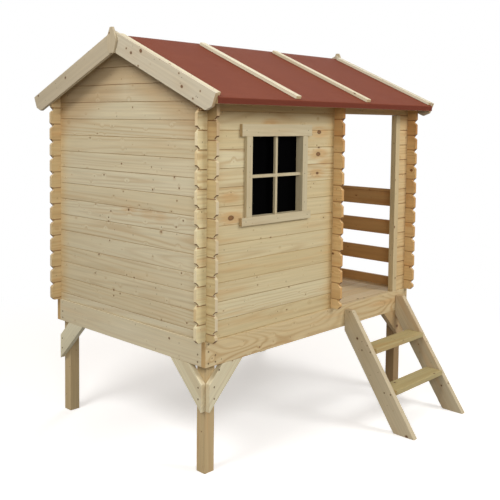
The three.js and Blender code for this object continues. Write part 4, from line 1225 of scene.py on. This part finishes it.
class PLAYHOUSE_OT_stage(Operator):
    """Sets the floor, the lamps, the world and the camera"""

    bl_idname = "playhouse.stage"
    bl_label = "Stage"

    def execute(self, context):
        settings = context.scene.playhouse_stage
        self.floor(settings)
        self.world(context.scene, settings)
        self.lamps(settings)
        self.camera(context.scene, settings)
        context.scene.view_settings.view_transform = "Standard"
        return {"FINISHED"}

    def floor(self, settings):
        deselect_all()
        bpy.ops.mesh.primitive_plane_add(size=FLOOR_SIZE, location=(0, 0, -FLOOR_DROP))
        floor = bpy.context.active_object
        floor.name = "floor"
        graph = MaterialGraph("floor")
        place = graph.where["Object"]
        dark = [0.985 * part for part in settings.floor]
        base = graph.mix(graph.noise(place, 1.5, 2.0), dark, settings.floor)
        paper = graph.add("BsdfDiffuse", {"Color": base})
        # The floor throws less light back up than it shows, so that undersides stay in shade.
        dark_base = graph.mix(1.0, base, [settings.bounce] * 3, "MULTIPLY")
        dull = graph.add("BsdfDiffuse", {"Color": dark_base})
        glow = graph.add("Emission", {"Color": opaque(WHITE), "Strength": settings.glow})
        lit = graph.add("AddShader", {0: paper.outputs[0], 1: glow.outputs[0]})
        # Away from the house the floor fades into the white backdrop.
        white = graph.add("Emission", {"Color": opaque(WHITE), "Strength": 1.0})
        away = graph.ramp(graph.vector("LENGTH", place), FADE_START, FADE_END)
        faded = graph.add("MixShader", {0: away, 1: lit.outputs[0], 2: white.outputs[0]})
        light = graph.add("LightPath").outputs
        seen = graph.math("MAXIMUM", light["Is Camera Ray"], light["Is Glossy Ray"])
        chosen = graph.add("MixShader", {0: seen, 1: dull.outputs[0], 2: faded.outputs[0]})
        graph.add("OutputMaterial", {"Surface": chosen.outputs[0]})
        floor.data.materials.append(graph.material)

    def world(self, scene, settings):
        world = bpy.data.worlds.new("studio")
        world.use_nodes = True
        world.node_tree.nodes.clear()
        graph = Graph(world.node_tree)
        light = graph.add("LightPath").outputs
        seen = graph.math("MAXIMUM", light["Is Camera Ray"], light["Is Glossy Ray"])
        seen = graph.math("MAXIMUM", seen, light["Is Transmission Ray"])
        strength = graph.math("MULTIPLY_ADD", seen, 1.0 - settings.ambient, settings.ambient)
        tone = graph.mix(seen, settings.ambient_colour, WHITE)
        back = graph.add("Background", {"Color": tone, "Strength": strength})
        graph.add("OutputWorld", {"Surface": back.outputs[0]})
        scene.world = world

    def lamps(self, settings):
        for name, place, size in LAMPS:
            lamp = bpy.data.lights.new(f"{name} lamp", "AREA")
            lamp.shape = "DISK"
            lamp.size = size
            lamp.energy = getattr(settings, name)
            holder = bpy.data.objects.new(f"{name} lamp", lamp)
            bpy.context.collection.objects.link(holder)
            holder.location = place
            aim = LAMPS_AIM - Vector(place)
            holder.rotation_euler = aim.to_track_quat("-Z", "Y").to_euler()

    def camera(self, scene, settings):
        camera = bpy.data.cameras.new("camera")
        camera.sensor_width = SENSOR_WIDTH
        camera.lens = settings.lens
        camera.shift_y = settings.shift
        camera.clip_start = 0.05
        camera.clip_end = 100
        holder = bpy.data.objects.new("camera", camera)
        scene.collection.objects.link(holder)
        level = Vector((math.cos(settings.heading), math.sin(settings.heading), 0))
        forward = level * math.cos(settings.dip) - ALONG_Z * math.sin(settings.dip)
        right = Vector((math.sin(settings.heading), -math.cos(settings.heading), 0))
        down = forward.cross(right)
        side = right * math.cos(settings.roll) + down * math.sin(settings.roll)
        up = right * math.sin(settings.roll) - down * math.cos(settings.roll)
        turn = Matrix((side, up, -forward)).transposed().to_4x4()
        holder.matrix_world = Matrix.Translation(settings.eye) @ turn
        scene.camera = holder


class PLAYHOUSE_PT_panel(Panel):
    """Lists the playhouse's pieces and the stage"""

    bl_idname = "PLAYHOUSE_PT_panel"
    bl_label = "Playhouse"
    bl_space_type = "VIEW_3D"
    bl_region_type = "UI"
    bl_category = "Playhouse"

    def draw(self, context):
        for operator in OPERATORS:
            self.layout.operator(operator.bl_idname)


SETTINGS = {
    "playhouse_pine": PineSettings,
    "playhouse_roof": RoofSettings,
    "playhouse_fasteners": FastenerSettings,
    "playhouse_stage": StageSettings,
}
OPERATORS = [
    PLAYHOUSE_OT_log_walls,
    PLAYHOUSE_OT_floor,
    PLAYHOUSE_OT_legs,
    PLAYHOUSE_OT_roof_boards,
    PLAYHOUSE_OT_roof_felt,
    PLAYHOUSE_OT_roof_trim,
    PLAYHOUSE_OT_window,
    PLAYHOUSE_OT_door,
    PLAYHOUSE_OT_porch_post,
    PLAYHOUSE_OT_ladder,
    PLAYHOUSE_OT_screws,
    PLAYHOUSE_OT_nails,
    PLAYHOUSE_OT_stage,
]


def register():
    for kind in [*SETTINGS.values(), *OPERATORS, PLAYHOUSE_PT_panel]:
        bpy.utils.register_class(kind)
    for name, kind in SETTINGS.items():
        setattr(bpy.types.Scene, name, PointerProperty(type=kind))


def unregister():
    for name in SETTINGS:
        delattr(bpy.types.Scene, name)
    for kind in reversed([*SETTINGS.values(), *OPERATORS, PLAYHOUSE_PT_panel]):
        bpy.utils.unregister_class(kind)


def main():
    register()
    pine_group()
    for operator in OPERATORS:
        group, name = operator.bl_idname.split(".")
        if getattr(getattr(bpy.ops, group), name)() != {"FINISHED"}:
            raise RuntimeError(f"{operator.bl_label} wasn't finished")


if __name__ == "__main__":
    main()
